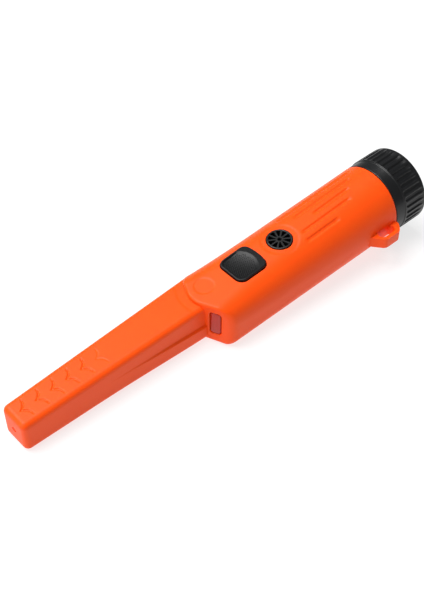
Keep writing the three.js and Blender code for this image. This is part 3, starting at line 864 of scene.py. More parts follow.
class Paint:
    """Makes each finish once and hands it out."""

    def __init__(self) -> None:
        """Starts with no material made."""
        self.made: dict[str, bpy.types.Material] = {}

    def get(self, finish: Moulded | ClearMoulding) -> bpy.types.Material:
        """The finish's material.

        Args:
            finish: the finish.

        Returns:
            Its material, made the first time.
        """
        if finish.name not in self.made:
            self.made[finish.name] = finish.material()
        return self.made[finish.name]

    def carried_nodes(self) -> None:
        """Paints every CAD node from its slot in the record."""
        special = {"sounder_membrane": SPEAKER_CLOTH, "lamp_led": LAMP_EPOXY}
        for row in frame["record"]["subparts"]:
            finish = special.get(row["node"], SLOT_FINISHES[row["material_slot"]])
            mesh = frame["nodes"][row["node"]].data
            mesh.materials.clear()
            mesh.materials.append(self.get(finish))


# ------------------------------------------------------------------ casing


@dataclass
class Nose:
    """Blunt wedge at the front of the handle, seen from above."""

    x: float = 98.7
    y: float = 1.5
    radius: float = 12.0
    slope: float = math.radians(24.3)
    lip: float = 1.2
    near_corner: float = 5.0
    far_corner: float = 8.0

    @property
    def apex(self) -> float:
        """Where the two facets would meet."""
        return self.x - self.radius * (1 / math.cos(self.slope) - 1)

    def height(self, x: Array, y: Array) -> Array:
        """Distance ahead of the nose, negative inside.

        Args:
            x: place along the probe.
            y: place across it.

        Returns:
            The distance.
        """
        ahead = -math.cos(self.slope) * (x - self.apex)
        lean = math.sin(self.slope) * (y - self.y)
        return rounded_corner(ahead + lean, ahead - lean, math.cos(2 * self.slope), self.radius)

    def face_x(self, y: Array) -> Array:
        """Where the face is.

        Args:
            y: place across the probe.

        Returns:
            Its x.
        """
        off = np.abs(y - self.y)
        limit = self.radius * math.sin(self.slope)
        centre = self.x + self.radius
        arc = centre - np.sqrt(np.maximum(self.radius**2 - np.minimum(off, limit) ** 2, 0))
        return np.where(off < limit, arc, self.apex + math.tan(self.slope) * off)


@dataclass
class Groove:
    """One finger groove along the top of the handle."""

    y: float
    start: float
    end: float


@dataclass
class HandleSkin:
    """Outside of the handle: a rounded box in front that becomes round at the cap."""

    front_x: float = 101.0
    rear_x: float = 213.9
    front_half_width: float = 18.0
    front_top: float = 9.85
    front_bottom: float = -12.85
    front_edge: float = 6.2
    rear_radius: float = 19.4
    edge_growth: float = 0.48
    front_low_edge: float = 3.4
    low_edge_growth: float = 1.0
    rim: float = 0.4
    nose: Nose = field(default_factory=Nose)
    band: float = 13.0
    groove_width: float = 1.9
    groove_depth: float = 0.62
    grooves: tuple[Groove, ...] = (
        Groove(-9.3, 160.6, 182.4),
        Groove(-4.6, 162.0, 194.5),
        Groove(0.4, 174.5, 198.5),
        Groove(5.1, 166.0, 204.5),
        Groove(10.0, 159.4, 209.0),
    )
    sounder_x: float = 151.7
    sounder_radius: float = 6.2
    sounder_rim: float = 9.2
    sounder_step: float = 0.24
    badge_x: float = 107.7
    badge_y: float = 3.5
    badge_radius: float = 4.8
    badge_step: float = 0.2

    def section(self, x: Array) -> Section:
        """The handle's section.

        Args:
            x: place along the probe.

        Returns:
            The section, or one for each x.
        """
        t = (np.asarray(x, float) - self.front_x) / (self.rear_x - self.front_x)
        grown = np.maximum(t, 0) ** self.edge_growth
        low_grown = np.clip(t, 0, 1) ** self.low_edge_growth
        half_width = self.front_half_width + (self.rear_radius - self.front_half_width) * t
        top = self.front_top + (self.rear_radius - self.front_top) * t
        bottom = self.front_bottom - (self.rear_radius + self.front_bottom) * t
        edge = self.front_edge + (self.rear_radius - self.front_edge) * grown
        low_edge = self.front_low_edge + (self.rear_radius - self.front_low_edge) * low_grown
        return Section(half_width, top, bottom, np.zeros_like(t), edge, low_edge)

    def height(self, p: Array) -> Array:
        """Distance outside the plain skin, with the nose rounded into it.

        Args:
            p: working points.

        Returns:
            The distances, negative inside.
        """
        x, y, z = p[..., 0], p[..., 1], p[..., 2]
        section = self.section(x)
        sideways = section.sideways(y, z)
        corner = np.where(y < self.nose.y, self.nose.near_corner, self.nose.far_corner)
        radius = self.nose.lip + (corner - self.nose.lip) * sideways**2
        cosine = sideways * math.sin(self.nose.slope)
        return rounded_corner(section.height(y, z), self.nose.height(x, y), cosine, radius)

    def relief(self, p: Array) -> Array:
        """How deep the grooves, the sounder's ring and the badge recess are pressed in.

        Args:
            p: working points on the plain skin.

        Returns:
            The depths.
        """
        x, y, z = p[..., 0], p[..., 1], p[..., 2]
        depth = np.zeros_like(x)
        for groove in self.grooves:
            inside = self.groove_width / 2 - np.abs(y - groove.y)
            ends = smooth(np.minimum(x - groove.start, groove.end - x), -0.6, 2.0)
            depth = np.maximum(depth, self.groove_depth * ends * smooth(inside, -0.3, 0.6))
        ring = self.sounder_rim - np.hypot(x - self.sounder_x, y)
        depth = np.maximum(depth, self.sounder_step * smooth(ring, -0.8, 0.6))
        badge = self.badge_radius - np.hypot(x - self.badge_x, y - self.badge_y)
        depth = np.maximum(depth, self.badge_step * smooth(badge, -0.3, 0.3))
        return np.where(z > 0, depth, 0)

    def rings(self, pitch: float, columns: tuple[int, int], inset: float) -> Array:
        """Grid of points over the skin, from the middle of the nose to the rear rim.

        Args:
            pitch: spacing along the handle.
            columns: how many lines run along the top, and how many round the rest.
            inset: how far inside the skin the grid lies.

        Returns:
            The rings, front to back.
        """
        nose = self.nose
        band = np.linspace(self.band, -self.band, columns[0])
        rest = np.linspace(0, 1, columns[1] + 2)[1:-1]

        def skin_at(x: Array) -> tuple[Array, Array]:
            """Points of every column at its own x."""
            head, tail = x[..., : columns[0]], x[..., columns[0] :]
            upper = self.section(head)
            top_z = upper.top_at(np.broadcast_to(band, head.shape))
            lower = self.section(tail)
            edge_z = lower.top_at(np.full(tail.shape, self.band))
            start = np.arctan2(edge_z - lower.centre_z, self.band)
            angle = math.pi - start + rest * (math.pi + 2 * start)
            low_y, low_z = lower.point_at(angle)
            y = np.concatenate([np.broadcast_to(band, head.shape), low_y], -1)
            return y, np.concatenate([top_z, low_z], -1)

        count = sum(columns)
        edge_x = np.full(count, self.front_x + 4)
        for _ in range(4):
            y, z = skin_at(edge_x)
            sideways = self.section(edge_x).sideways(y, z)
            corner = np.where(y < nose.y, nose.near_corner, nose.far_corner)
            radius = nose.lip + (corner - nose.lip) * sideways**2
            edge_x = nose.face_x(y) + radius
        section = self.section(edge_x)
        middle_y, middle_z = 0.0, section.centre_z
        away = np.stack([y - middle_y, z - middle_z], -1)
        away /= np.linalg.norm(away, axis=-1, keepdims=True)
        rows = []
        for share in np.linspace(0.1, 1.0, 9)[:-1]:
            lip_y, lip_z = y - radius * away[:, 0], z - radius * away[:, 1]
            face_y = middle_y + share * (lip_y - middle_y)
            face_z = middle_z + share * (lip_z - middle_z)
            rows.append(np.stack([nose.face_x(face_y), face_y, face_z], -1))
        for a in np.linspace(0, math.pi / 2, 11):
            gone = radius * (1 - math.sin(a))
            lip_y = y - gone * away[:, 0]
            lip_x = nose.face_x(lip_y) + radius * (1 - math.cos(a))
            rows.append(np.stack([lip_x, lip_y, z - gone * away[:, 1]], -1))
        rear = self.rear_x - self.rim
        for t in np.linspace(0, 1, int((rear - self.front_x) / pitch) + 1)[1:]:
            x = edge_x + (rear - edge_x) * t
            body_y, body_z = skin_at(x)
            rows.append(np.stack([x, body_y, body_z], -1))
        return settle(np.array(rows), lambda p: self.height(p) + inset)

    def build(self) -> bpy.types.Object:
        """The handle's outside, with its relief pressed in and its rear rim rounded.

        Returns:
            The solid.
        """
        grid = self.rings(0.52, (105, 100), 0.0)
        slope = slope_of(grid, self.height)
        out = slope / np.maximum(np.linalg.norm(slope, axis=-1, keepdims=True), 1e-6)
        grid = grid - out * self.relief(grid)[..., None]
        last = grid[-1]
        closing = []
        for a in (30, 60, 90):
            drop = self.rim * (1 - math.cos(math.radians(a)))
            scale = 1 - drop / self.rear_radius
            x = self.rear_x - self.rim * (1 - math.sin(math.radians(a)))
            closing.append(np.column_stack([np.full(len(last), x), last[:, 1:] * scale]))
        return loft("casing_handle", np.concatenate([grid, np.array(closing)]))

    def hollow(self, wall: float) -> bpy.types.Object:
        """The space inside the handle.

        Args:
            wall: thickness of the walls.

        Returns:
            The solid to cut away.
        """
        grid = self.rings(6.0, (15, 33), wall)
        grid = grid[4:]
        tail = grid[-1].copy()
        tail[:, 0] = self.rear_x + 5
        return loft("casing_handle_space", np.concatenate([grid, tail[None]]))


@dataclass
class ProbeSkin:
    """Outside of the probe: a tapering rounded box with marks on top and a ledge below."""

    root_x: float = 101.0
    end_x: float = 110.0
    edge: float = 2.9
    tip_edge: float = 2.6
    tip: tuple[float, float, float, float] = (8.05, 8.55, -8.65, 1.6)
    root: tuple[float, float, float, float] = (10.6, 7.8, -12.75, 5.5)
    ledge_start: float = 38.0
    ledge_top: tuple[float, float] = (1.2, -3.7)
    ledge_proud: float = 1.15
    mark_count: int = 6
    mark_first: float = 5.2
    mark_pitch: float = 8.1
    mark_arm: float = 5.2
    mark_sweep: float = 3.1
    mark_bend: float = 1.35
    mark_width: float = 0.95
    mark_depth: float = 0.48
    apron_reach: float = 4.6
    apron_step: float = 0.14
    nose: Nose = field(default_factory=Nose)

    def section(self, x: Array) -> Section:
        """The probe's section.

        Args:
            x: place along the probe.

        Returns:
            The section, or one for each x.
        """
        t = np.asarray(x, float) / self.root_x
        half_width, top, bottom, centre_y = (a + (b - a) * t for a, b in zip(self.tip, self.root))
        return Section(half_width, top, bottom, centre_y, np.full_like(t, self.edge))

    def mark_relief(self, x: Array, y: Array) -> Array:
        """Depth of the gull-wing marks.

        Args:
            x: place along the probe.
            y: place across it.

        Returns:
            The depths.
        """
        across = np.sqrt(np.square(y - self.section(x).centre_y - 0.1) + 0.35**2) - 0.35
        depth = np.zeros_like(x)
        for i in range(self.mark_count):
            last = i == self.mark_count - 1
            line = self.mark_first + self.mark_pitch * i
            line = line + self.mark_sweep * (1 - np.exp(-across / self.mark_bend))
            lean = np.hypot(1, self.mark_sweep / self.mark_bend * np.exp(-across / self.mark_bend))
            half = self.mark_width / 2 * (1 - 0.55 * across / self.mark_arm)
            inside = half - np.abs(x - line) / np.minimum(lean, 1.35)
            fade = smooth(self.mark_arm - across, 0.0, 1.2) * (0.3 if last else 1.0)
            depth = np.maximum(depth, self.mark_depth * fade * smooth(inside, -0.3, 0.35))
        return depth

    def pressed(self, grid: Array) -> Array:
        """Presses in the marks and the apron round the nose, and swells the ledge.

        Args:
            grid: working points on the plain skin.

        Returns:
            The moved points.
        """
        x, y, z = (grid[..., k].copy() for k in range(3))
        section = self.section(x)
        on_top = smooth(z, section.top - 0.9, section.top - 0.3)
        ahead = self.nose.height(x, y)
        apron = self.apron_step * smooth(self.apron_reach - ahead, -0.6, 0.6)
        new_z = z - on_top * (self.mark_relief(x, y) + apron)
        t = np.clip((x - self.ledge_start) / (self.root_x - self.ledge_start), 0, None)
        line = self.ledge_top[0] + (self.ledge_top[1] - self.ledge_top[0]) * t
        below = smooth(line - z, -0.15, 0.75)
        near = smooth(section.centre_y - section.half_width * 0.9 - y, -0.3, 0.6)
        foot = smooth(z - section.bottom, 0.2, 1.4)
        swell = self.ledge_proud * smooth(x, self.ledge_start, self.ledge_start + 70) * 1.15
        new_y = y - swell * below * near * foot
        return np.stack([x, new_y, new_z], -1)

    def ring(self, x: float, inset: float) -> Array:
        """Points round the section at x, moved inwards."""
        y, z = self.section(np.array(x)).shrunk(inset).outline((66, 36, 10, 10), 7)
        return np.stack([np.full_like(y, x), y, z], -1)

    def build(self) -> bpy.types.Object:
        """The probe's outside.

        Returns:
            The solid.
        """
        rows = []
        face = self.ring(0.0, self.tip_edge)
        middle = face.mean(0)
        for share in (0.15, 0.4, 0.7):
            rows.append(middle + share * (face - middle))
        for a in np.linspace(0, math.pi / 2, 8):
            x = self.tip_edge * (1 - math.cos(a))
            rows.append(self.ring(x, self.tip_edge * (1 - math.sin(a))))
        marked_to = self.mark_first + self.mark_pitch * self.mark_count + 1
        fine = np.arange(self.tip_edge + 0.3, marked_to, 0.3)
        coarse = np.arange(marked_to, 84, 1.5)
        apron = np.arange(84, self.end_x + 0.1, 0.5)
        for x in np.concatenate([fine, coarse, apron]):
            rows.append(self.ring(float(x), 0.0))
        return loft("casing_probe", self.pressed(np.array(rows)))

    def hollow(self, wall: float) -> bpy.types.Object:
        """The space inside the probe.

        Args:
            wall: thickness of the walls.

        Returns:
            The solid to cut away.
        """
        rows = []
        for x in (3.0, 112.0):
            y, z = self.section(np.array(x)).shrunk(wall).outline((2, 2, 2, 2), 4)
            rows.append(np.stack([np.full_like(y, x), y, z], -1))
        return loft("casing_probe_space", np.array(rows))


@dataclass
class Lug:
    """Loop beside the cap for a lanyard or a split ring."""

    start: float = 195.0
    end: float = 213.3
    reach: float = 25.4
    z: float = -2.5
    thickness: float = 6.0
    slot: tuple[float, float] = (199.4, 209.6)
    slot_inner: float = 19.1
    slot_width: float = 4.4
    root: float = 14.0
    front_shoulder: float = 18.6
    rear_shoulder: float = 21.3
    edge: float = 0.65

    def build(self) -> bpy.types.Object:
        """The loop, with rounded edges inside and out.

        Returns:
            The solid.
        """
        corners = [
            (self.start, -self.root, 0.05),
            (self.start, -self.front_shoulder, 2.5),
            (self.start + 5.5, -self.reach, 3.5),
            (self.end - 3.4, -self.reach, 3.0),
            (self.end, -self.rear_shoulder, 1.6),
            (self.end, -self.root, 0.05),
        ]
        plane = Plane((0, 0, self.z), (1, 0, 0), (0, 1, 0), (0, 0, 1))
        outline = plan_outline(corners, 0.0, 8)
        half = self.thickness / 2
        loop = stack("casing_lug", [(outline, -half), (outline, half)], plane)
        middle = -(self.slot_inner + self.slot_width / 2)
        hole = self.slot_outline(middle)
        combine(loop, [(stack("slot", [(hole, -half - 1), (hole, half + 1)], plane), Join.CUT)])
        return rounded(loop, self.edge, 4)

    def slot_outline(self, middle: float) -> Array:
        """Outline of the slot, with round ends.

        Args:
            middle: y of its middle line.

        Returns:
            The outline's points.
        """
        r = self.slot_width / 2
        x0, x1 = self.slot
        corners = [
            (x0, middle - r, r - 0.02),
            (x1, middle - r, r - 0.02),
            (x1, middle + r, r - 0.02),
            (x0, middle + r, r - 0.02),
        ]
        return plan_outline(corners, 0.0, 8)


@dataclass
class Deck:
    """Sloping top of the handle, square to which the button and the sounder sit."""

    skin: HandleSkin
    x: float = 128.9

    @property
    def slope(self) -> float:
        """Slope of the top."""
        rise = self.skin.rear_radius - self.skin.front_top
        return math.atan2(rise, self.skin.rear_x - self.skin.front_x)

    def plane(self, u: float = 0.0) -> Plane:
        """The deck's plane, moved along it.

        Args:
            u: how far it is moved.

        Returns:
            The plane.
        """
        c, s = math.cos(self.slope), math.sin(self.slope)
        top = float(self.skin.section(np.array(self.x)).top)
        return Plane((self.x + u * c, 0.0, top + u * s), (c, 0, s), (0, 1, 0), (-s, 0, c))

    def u_of(self, x: float) -> float:
        """Distance along the deck of a working x."""
        return (x - self.x) / math.cos(self.slope)

    def surface(self, local: Array) -> Array:
        """Height of the casing's skin over the deck's plane.

        Args:
            local: (u, v) points.

        Returns:
            The heights.
        """
        x = self.x + local[:, 0] * math.cos(self.slope)
        section = self.skin.section(x)
        return (section.top_at(local[:, 1]) - section.top) * math.cos(self.slope)


@dataclass
class ButtonShape:
    """Outline of the power button, seen along the deck's normal."""

    y: float = 0.5
    length: float = 17.2
    width: float = 16.6
    corner: float = 3.8
    bulge: float = 1.0

    def outline(self, grow: float, count: int = 168) -> Array:
        """The outline, moved outwards.

        Args:
            grow: how far it moves.
            count: how many points it has.

        Returns:
            The outline's points.
        """
        hu, hv = self.length / 2, self.width / 2
        corners = [
            (-hu, self.y - hv, self.corner),
            (hu, self.y - hv, self.corner),
            (hu + self.bulge, self.y, 1.5 * self.width),
            (hu, self.y + hv, self.corner),
            (-hu, self.y + hv, self.corner),
        ]
        return evened(plan_outline(corners, grow, 10), count)


@dataclass
class LampPlace:
    """Slanted near face of the nose, where the lamp window sits."""

    nose: Nose
    y: float = -9.8
    z: float = -1.0
    width: float = 5.2
    height: float = 13.0
    corner: float = 1.2

    def plane(self) -> Plane:
        """The slanted face: u runs across it, v up and w outwards.

        Returns:
            The plane.
        """
        c, s = math.cos(self.nose.slope), math.sin(self.nose.slope)
        x = self.nose.apex + math.tan(self.nose.slope) * (self.nose.y - self.y)
        return Plane((x, self.y, self.z), (s, -c, 0), (0, 0, 1), (-c, -s, 0))

    def outline(self, grow: float) -> Array:
        """The window's outline, moved outwards.

        Args:
            grow: how far it moves.

        Returns:
            The outline's points.
        """
        hu, hv = self.width / 2, self.height / 2
        signs = [(-1, -1), (1, -1), (1, 1), (-1, 1)]
        corners = [(a * hu, b * hv, self.corner) for a, b in signs]
        return plan_outline(corners, grow, 6)


THREAD_PITCH = 3.0
THREAD_ROOTING = 0.6


def helix_ridge(
    name: str,
    start: float,
    turns: float,
    lead: float,
    radii: tuple[float, float],
    pitch: float = THREAD_PITCH,
    half_width: float = 0.5,
) -> bpy.types.Object:
    """Thread ridge wound right-handed about the cap's axis, running out at both ends.

    Args:
        name: the solid's name.
        start: where it begins along the axis.
        turns: how many turns it makes.
        lead: the angle at which it begins.
        radii: radius of its root and of its crest.
        pitch: travel of one turn.
        half_width: half its width at the root.

    Returns:
        The new object.
    """
    steps = int(round(turns * 72))
    shape = [(-half_width, 0), (half_width, 0), (0.55 * half_width, 1), (-0.55 * half_width, 1)]
    rows = []
    for i in range(steps + 1):
        a = lead + 2 * math.pi * i / 72
        x = start + pitch * i / 72
        full = min(i, steps - i) / 6
        rise = min(1.0, 0.15 + full)
        row = []
        for dx, out in shape:
            r = radii[0] + (radii[1] - radii[0]) * out * rise
            row.append((x + dx, r * math.cos(a), r * math.sin(a)))
        rows.append(row)
    return loft(name, np.array(rows))


@dataclass
class Casing:
    """The one-piece orange casing, with everything that is moulded into it or cut from it."""

    wall: float = 2.0
    gap: float = 0.3
    bore_from: float = 205.2
    bore_radius: float = 17.3
    thread_from: float = 206.3
    thread_turns: float = 1.5
    thread_crest: float = 16.7
    gate_hub: float = 0.6
    gate_radius: float = 1.3
    gate_depth: float = 0.42
    handle: HandleSkin = field(default_factory=HandleSkin)
    probe: ProbeSkin = field(default_factory=ProbeSkin)
    lug: Lug = field(default_factory=Lug)
    button: ButtonShape = field(default_factory=ButtonShape)

    def __post_init__(self) -> None:
        """Finds the deck and the lamp's place."""
        self.deck = Deck(self.handle)
        self.lamp = LampPlace(self.handle.nose)

    def flared(
        self,
        name: str,
        outline: Callable[[float], Array],
        plane: Plane,
        lift: Callable[[Array], Array],
        flare: float = 0.35,
        floor: float = -9.0,
    ) -> bpy.types.Object:
        """Cutter for an opening whose mouth is rounded over.

        Args:
            name: the solid's name.
            outline: gives the outline at a distance outwards.
            plane: where the opening is.
            lift: height of the skin over the plane at (u, v) points.
            flare: radius of the rounded mouth.
            floor: how deep it goes, below the plane.

        Returns:
            The new object.
        """
        straight = outline(self.gap)
        layers: list[tuple[Array, Array | float]] = [(straight, floor)]
        for a in np.linspace(0, math.pi / 2, 6):
            ring = outline(self.gap + flare * (1 - math.cos(a)))
            layers.append((ring, lift(ring) - flare * (1 - math.sin(a)) + 0.01))
        mouth = outline(self.gap + flare + 0.02)
        layers.append((mouth, 6.0))
        return stack(name, layers, plane)

    def openings(self) -> list[tuple[bpy.types.Object, Join]]:
        """Cutters for the button, the sounder, the lamp window and the rear bore.

        Returns:
            The cutters and what each does.
        """
        sounder_u = self.deck.u_of(self.handle.sounder_x)
        angles = round_angles(96)

        def circle(grow: float) -> Array:
            """The sounder's round opening."""
            r = self.handle.sounder_radius + grow
            return np.stack([r * np.cos(angles), r * np.sin(angles)], -1)

        def recessed(ring: Array) -> Array:
            """The skin inside the ring recess."""
            moved = ring + np.array([sounder_u, 0.0])
            return self.deck.surface(moved) - self.handle.sounder_step

        def level(ring: Array) -> Array:
            """The flat face that the lamp window is in."""
            return np.zeros(len(ring))

        rear = self.handle.rear_x
        bore_profile = [
            (0.0, self.bore_from),
            (self.bore_radius, self.bore_from),
            (self.bore_radius, rear - 0.5),
            (self.bore_radius + 0.5, rear),
            (self.bore_radius + 0.5, rear + 2),
            (0.0, rear + 2),
        ]
        button = self.flared("button_cut", self.button.outline, self.deck.plane(), self.deck.surface)
        sounder = self.flared("sounder_cut", circle, self.deck.plane(sounder_u), recessed)
        window = self.flared("window_cut", self.lamp.outline, self.lamp.plane(), level, 0.7)
        return [
            (button, Join.CUT),
            (sounder, Join.CUT),
            (window, Join.CUT),
            (turned("bore", bore_profile, 128, CAP_AXIS), Join.CUT),
        ]

    def gate(self) -> bpy.types.Object:
        """Cutter for the sunk ring where the moulding's gate was.

        Returns:
            The solid to cut away.
        """
        section = self.probe.section(np.array(0.0))
        y, z = float(section.centre_y), float(section.centre_z)
        plane = Plane((0.0, y, z), (0, 1, 0), (0, 0, -1), (-1, 0, 0))
        hub, rim, floor = self.gate_hub, self.gate_radius, -self.gate_depth
        profile = [
            (0, -0.06),
            (hub, -0.06),
            (hub + 0.06, floor),
            (rim, floor),
            (rim + 0.08, 0.02),
            (rim + 0.08, 1),
            (0, 1),
        ]
        return turned("gate", profile, 40, plane)

    def build(self, paint: Paint) -> None:
        """Builds the casing and mounts it.

        Args:
            paint: hands out the finishes.
        """
        body = self.handle.build()
        body.name = "casing"
        radii = (self.bore_radius + THREAD_ROOTING, self.thread_crest)
        ridge = helix_ridge("ridge", self.thread_from, self.thread_turns, 0.0, radii)
        tools = [(self.probe.build(), Join.ADD), (self.lug.build(), Join.ADD)]
        tools += [(self.handle.hollow(self.wall), Join.CUT), (self.probe.hollow(self.wall), Join.CUT)]
        tools += self.openings()
        tools += [(self.gate(), Join.CUT), (ridge, Join.ADD)]
        combine(body, tools)
        finished(body, paint.get(ORANGE_ABS), "handle", ["housing"], 60)


# ------------------------------------------------------------------ button and sounder


def node_tree(name: str, inputs: dict[str, float]) -> bpy.types.GeometryNodeTree:
    """Empty Geometry Nodes tree with a geometry input and named sizes.

    Args:
        name: the tree's name.
        inputs: each size's name and value.

    Returns:
        The tree.
    """
    tree = bpy.data.node_groups.new(name, "GeometryNodeTree")
    sides = tree.interface
    sides.new_socket("Geometry", in_out="INPUT", socket_type="NodeSocketGeometry")
    sides.new_socket("Geometry", in_out="OUTPUT", socket_type="NodeSocketGeometry")
    sides.new_socket("Finish", in_out="INPUT", socket_type="NodeSocketMaterial")
    for key, value in inputs.items():
        kind = "NodeSocketInt" if isinstance(value, int) else "NodeSocketFloat"
        sides.new_socket(key, in_out="INPUT", socket_type=kind)
    return tree


def run_tree(
    obj: bpy.types.Object,
    tree: bpy.types.GeometryNodeTree,
    inputs: dict[str, float],
    material: bpy.types.Material,
) -> bpy.types.Object:
    """Runs a tree on an object and keeps the result as plain mesh.

    Args:
        obj: the object that carries it.
        tree: the tree.
        inputs: each size's name and value, as given to node_tree.
        material: the finish that the tree sets.

    Returns:
        The object, with its new mesh.
    """
    change = obj.modifiers.new(tree.name, "NODES")
    change.node_group = tree
    for item in tree.interface.items_tree:
        if item.in_out == "INPUT" and item.name in inputs:
            change[item.identifier] = inputs[item.name]
        elif item.in_out == "INPUT" and item.name == "Finish":
            change[item.identifier] = material
    return bake(obj)


def close_tree(
    tree: bpy.types.GeometryNodeTree, shape: bpy.types.NodeSocket, finish: bpy.types.NodeSocket
) -> None:
    """Ends a tree in Realize Instances and Set Material.

    Args:
        tree: the tree.
        shape: the geometry that it has made.
        finish: the material that it sets.
    """
    real = add_node(tree, "GeometryNodeRealizeInstances", {"Geometry": shape})
    paint = add_node(tree, "GeometryNodeSetMaterial", {"Geometry": real.outputs[0], "Material": finish})
    add_node(tree, "NodeGroupOutput", {"Geometry": paint.outputs[0]})


def empty_mesh(name: str) -> bpy.types.Object:
    """Object with no geometry, for a tree that makes its own."""
    return new_object(name, bpy.data.meshes.new(name))


def vertex_points(mesh: bpy.types.Mesh) -> Array:
    """All of a mesh's points.

    Args:
        mesh: the mesh.

    Returns:
        The points, one row each.
    """
    flat = np.zeros(len(mesh.vertices) * 3)
    mesh.vertices.foreach_get("co", flat)
    return flat.reshape(-1, 3)


def set_vertex_points(mesh: bpy.types.Mesh, points: Array) -> None:
    """Moves all of a mesh's points."""
    mesh.vertices.foreach_set("co", points.ravel())
    mesh.update()


# How far apart staggered rows of touching circles lie, for a spacing of 1.
ROW_RISE = math.sqrt(3) / 2


class Sums:
    """Arithmetic steps in one Geometry Nodes tree."""

    def __init__(self, tree: bpy.types.GeometryNodeTree) -> None:
        """Takes the tree that the steps are added to."""
        self.tree = tree

    def of(self, operation: str, *values: object) -> bpy.types.NodeSocket:
        """Result of one step on numbers."""
        links = dict(enumerate(values))
        return add_node(self.tree, "ShaderNodeMath", links, operation=operation).outputs[0]

    def of_vectors(self, operation: str, *values: object) -> bpy.types.NodeSocket:
        """Result of one step on vectors; a length comes out as a number.

        Args:
            operation: Blender's name for the step.
            *values: the vectors, or the sockets that give them.

        Returns:
            The result's socket.
        """
        links = dict(enumerate(values))
        node = add_node(self.tree, "ShaderNodeVectorMath", links, operation=operation)
        return node.outputs["Value" if operation == "LENGTH" else "Vector"]

    def vector(self, **parts: object) -> bpy.types.NodeSocket:
        """Vector with the given X, Y and Z."""
        return add_node(self.tree, "ShaderNodeCombineXYZ", parts).outputs[0]

    def is_more(self, value: bpy.types.NodeSocket, limit: bpy.types.NodeSocket) -> bpy.types.NodeSocket:
        """Whether a number is over a limit."""
        how = {"data_type": "FLOAT", "operation": "GREATER_THAN"}
        return add_node(self.tree, "FunctionNodeCompare", {0: value, 1: limit}, **how).outputs[0]


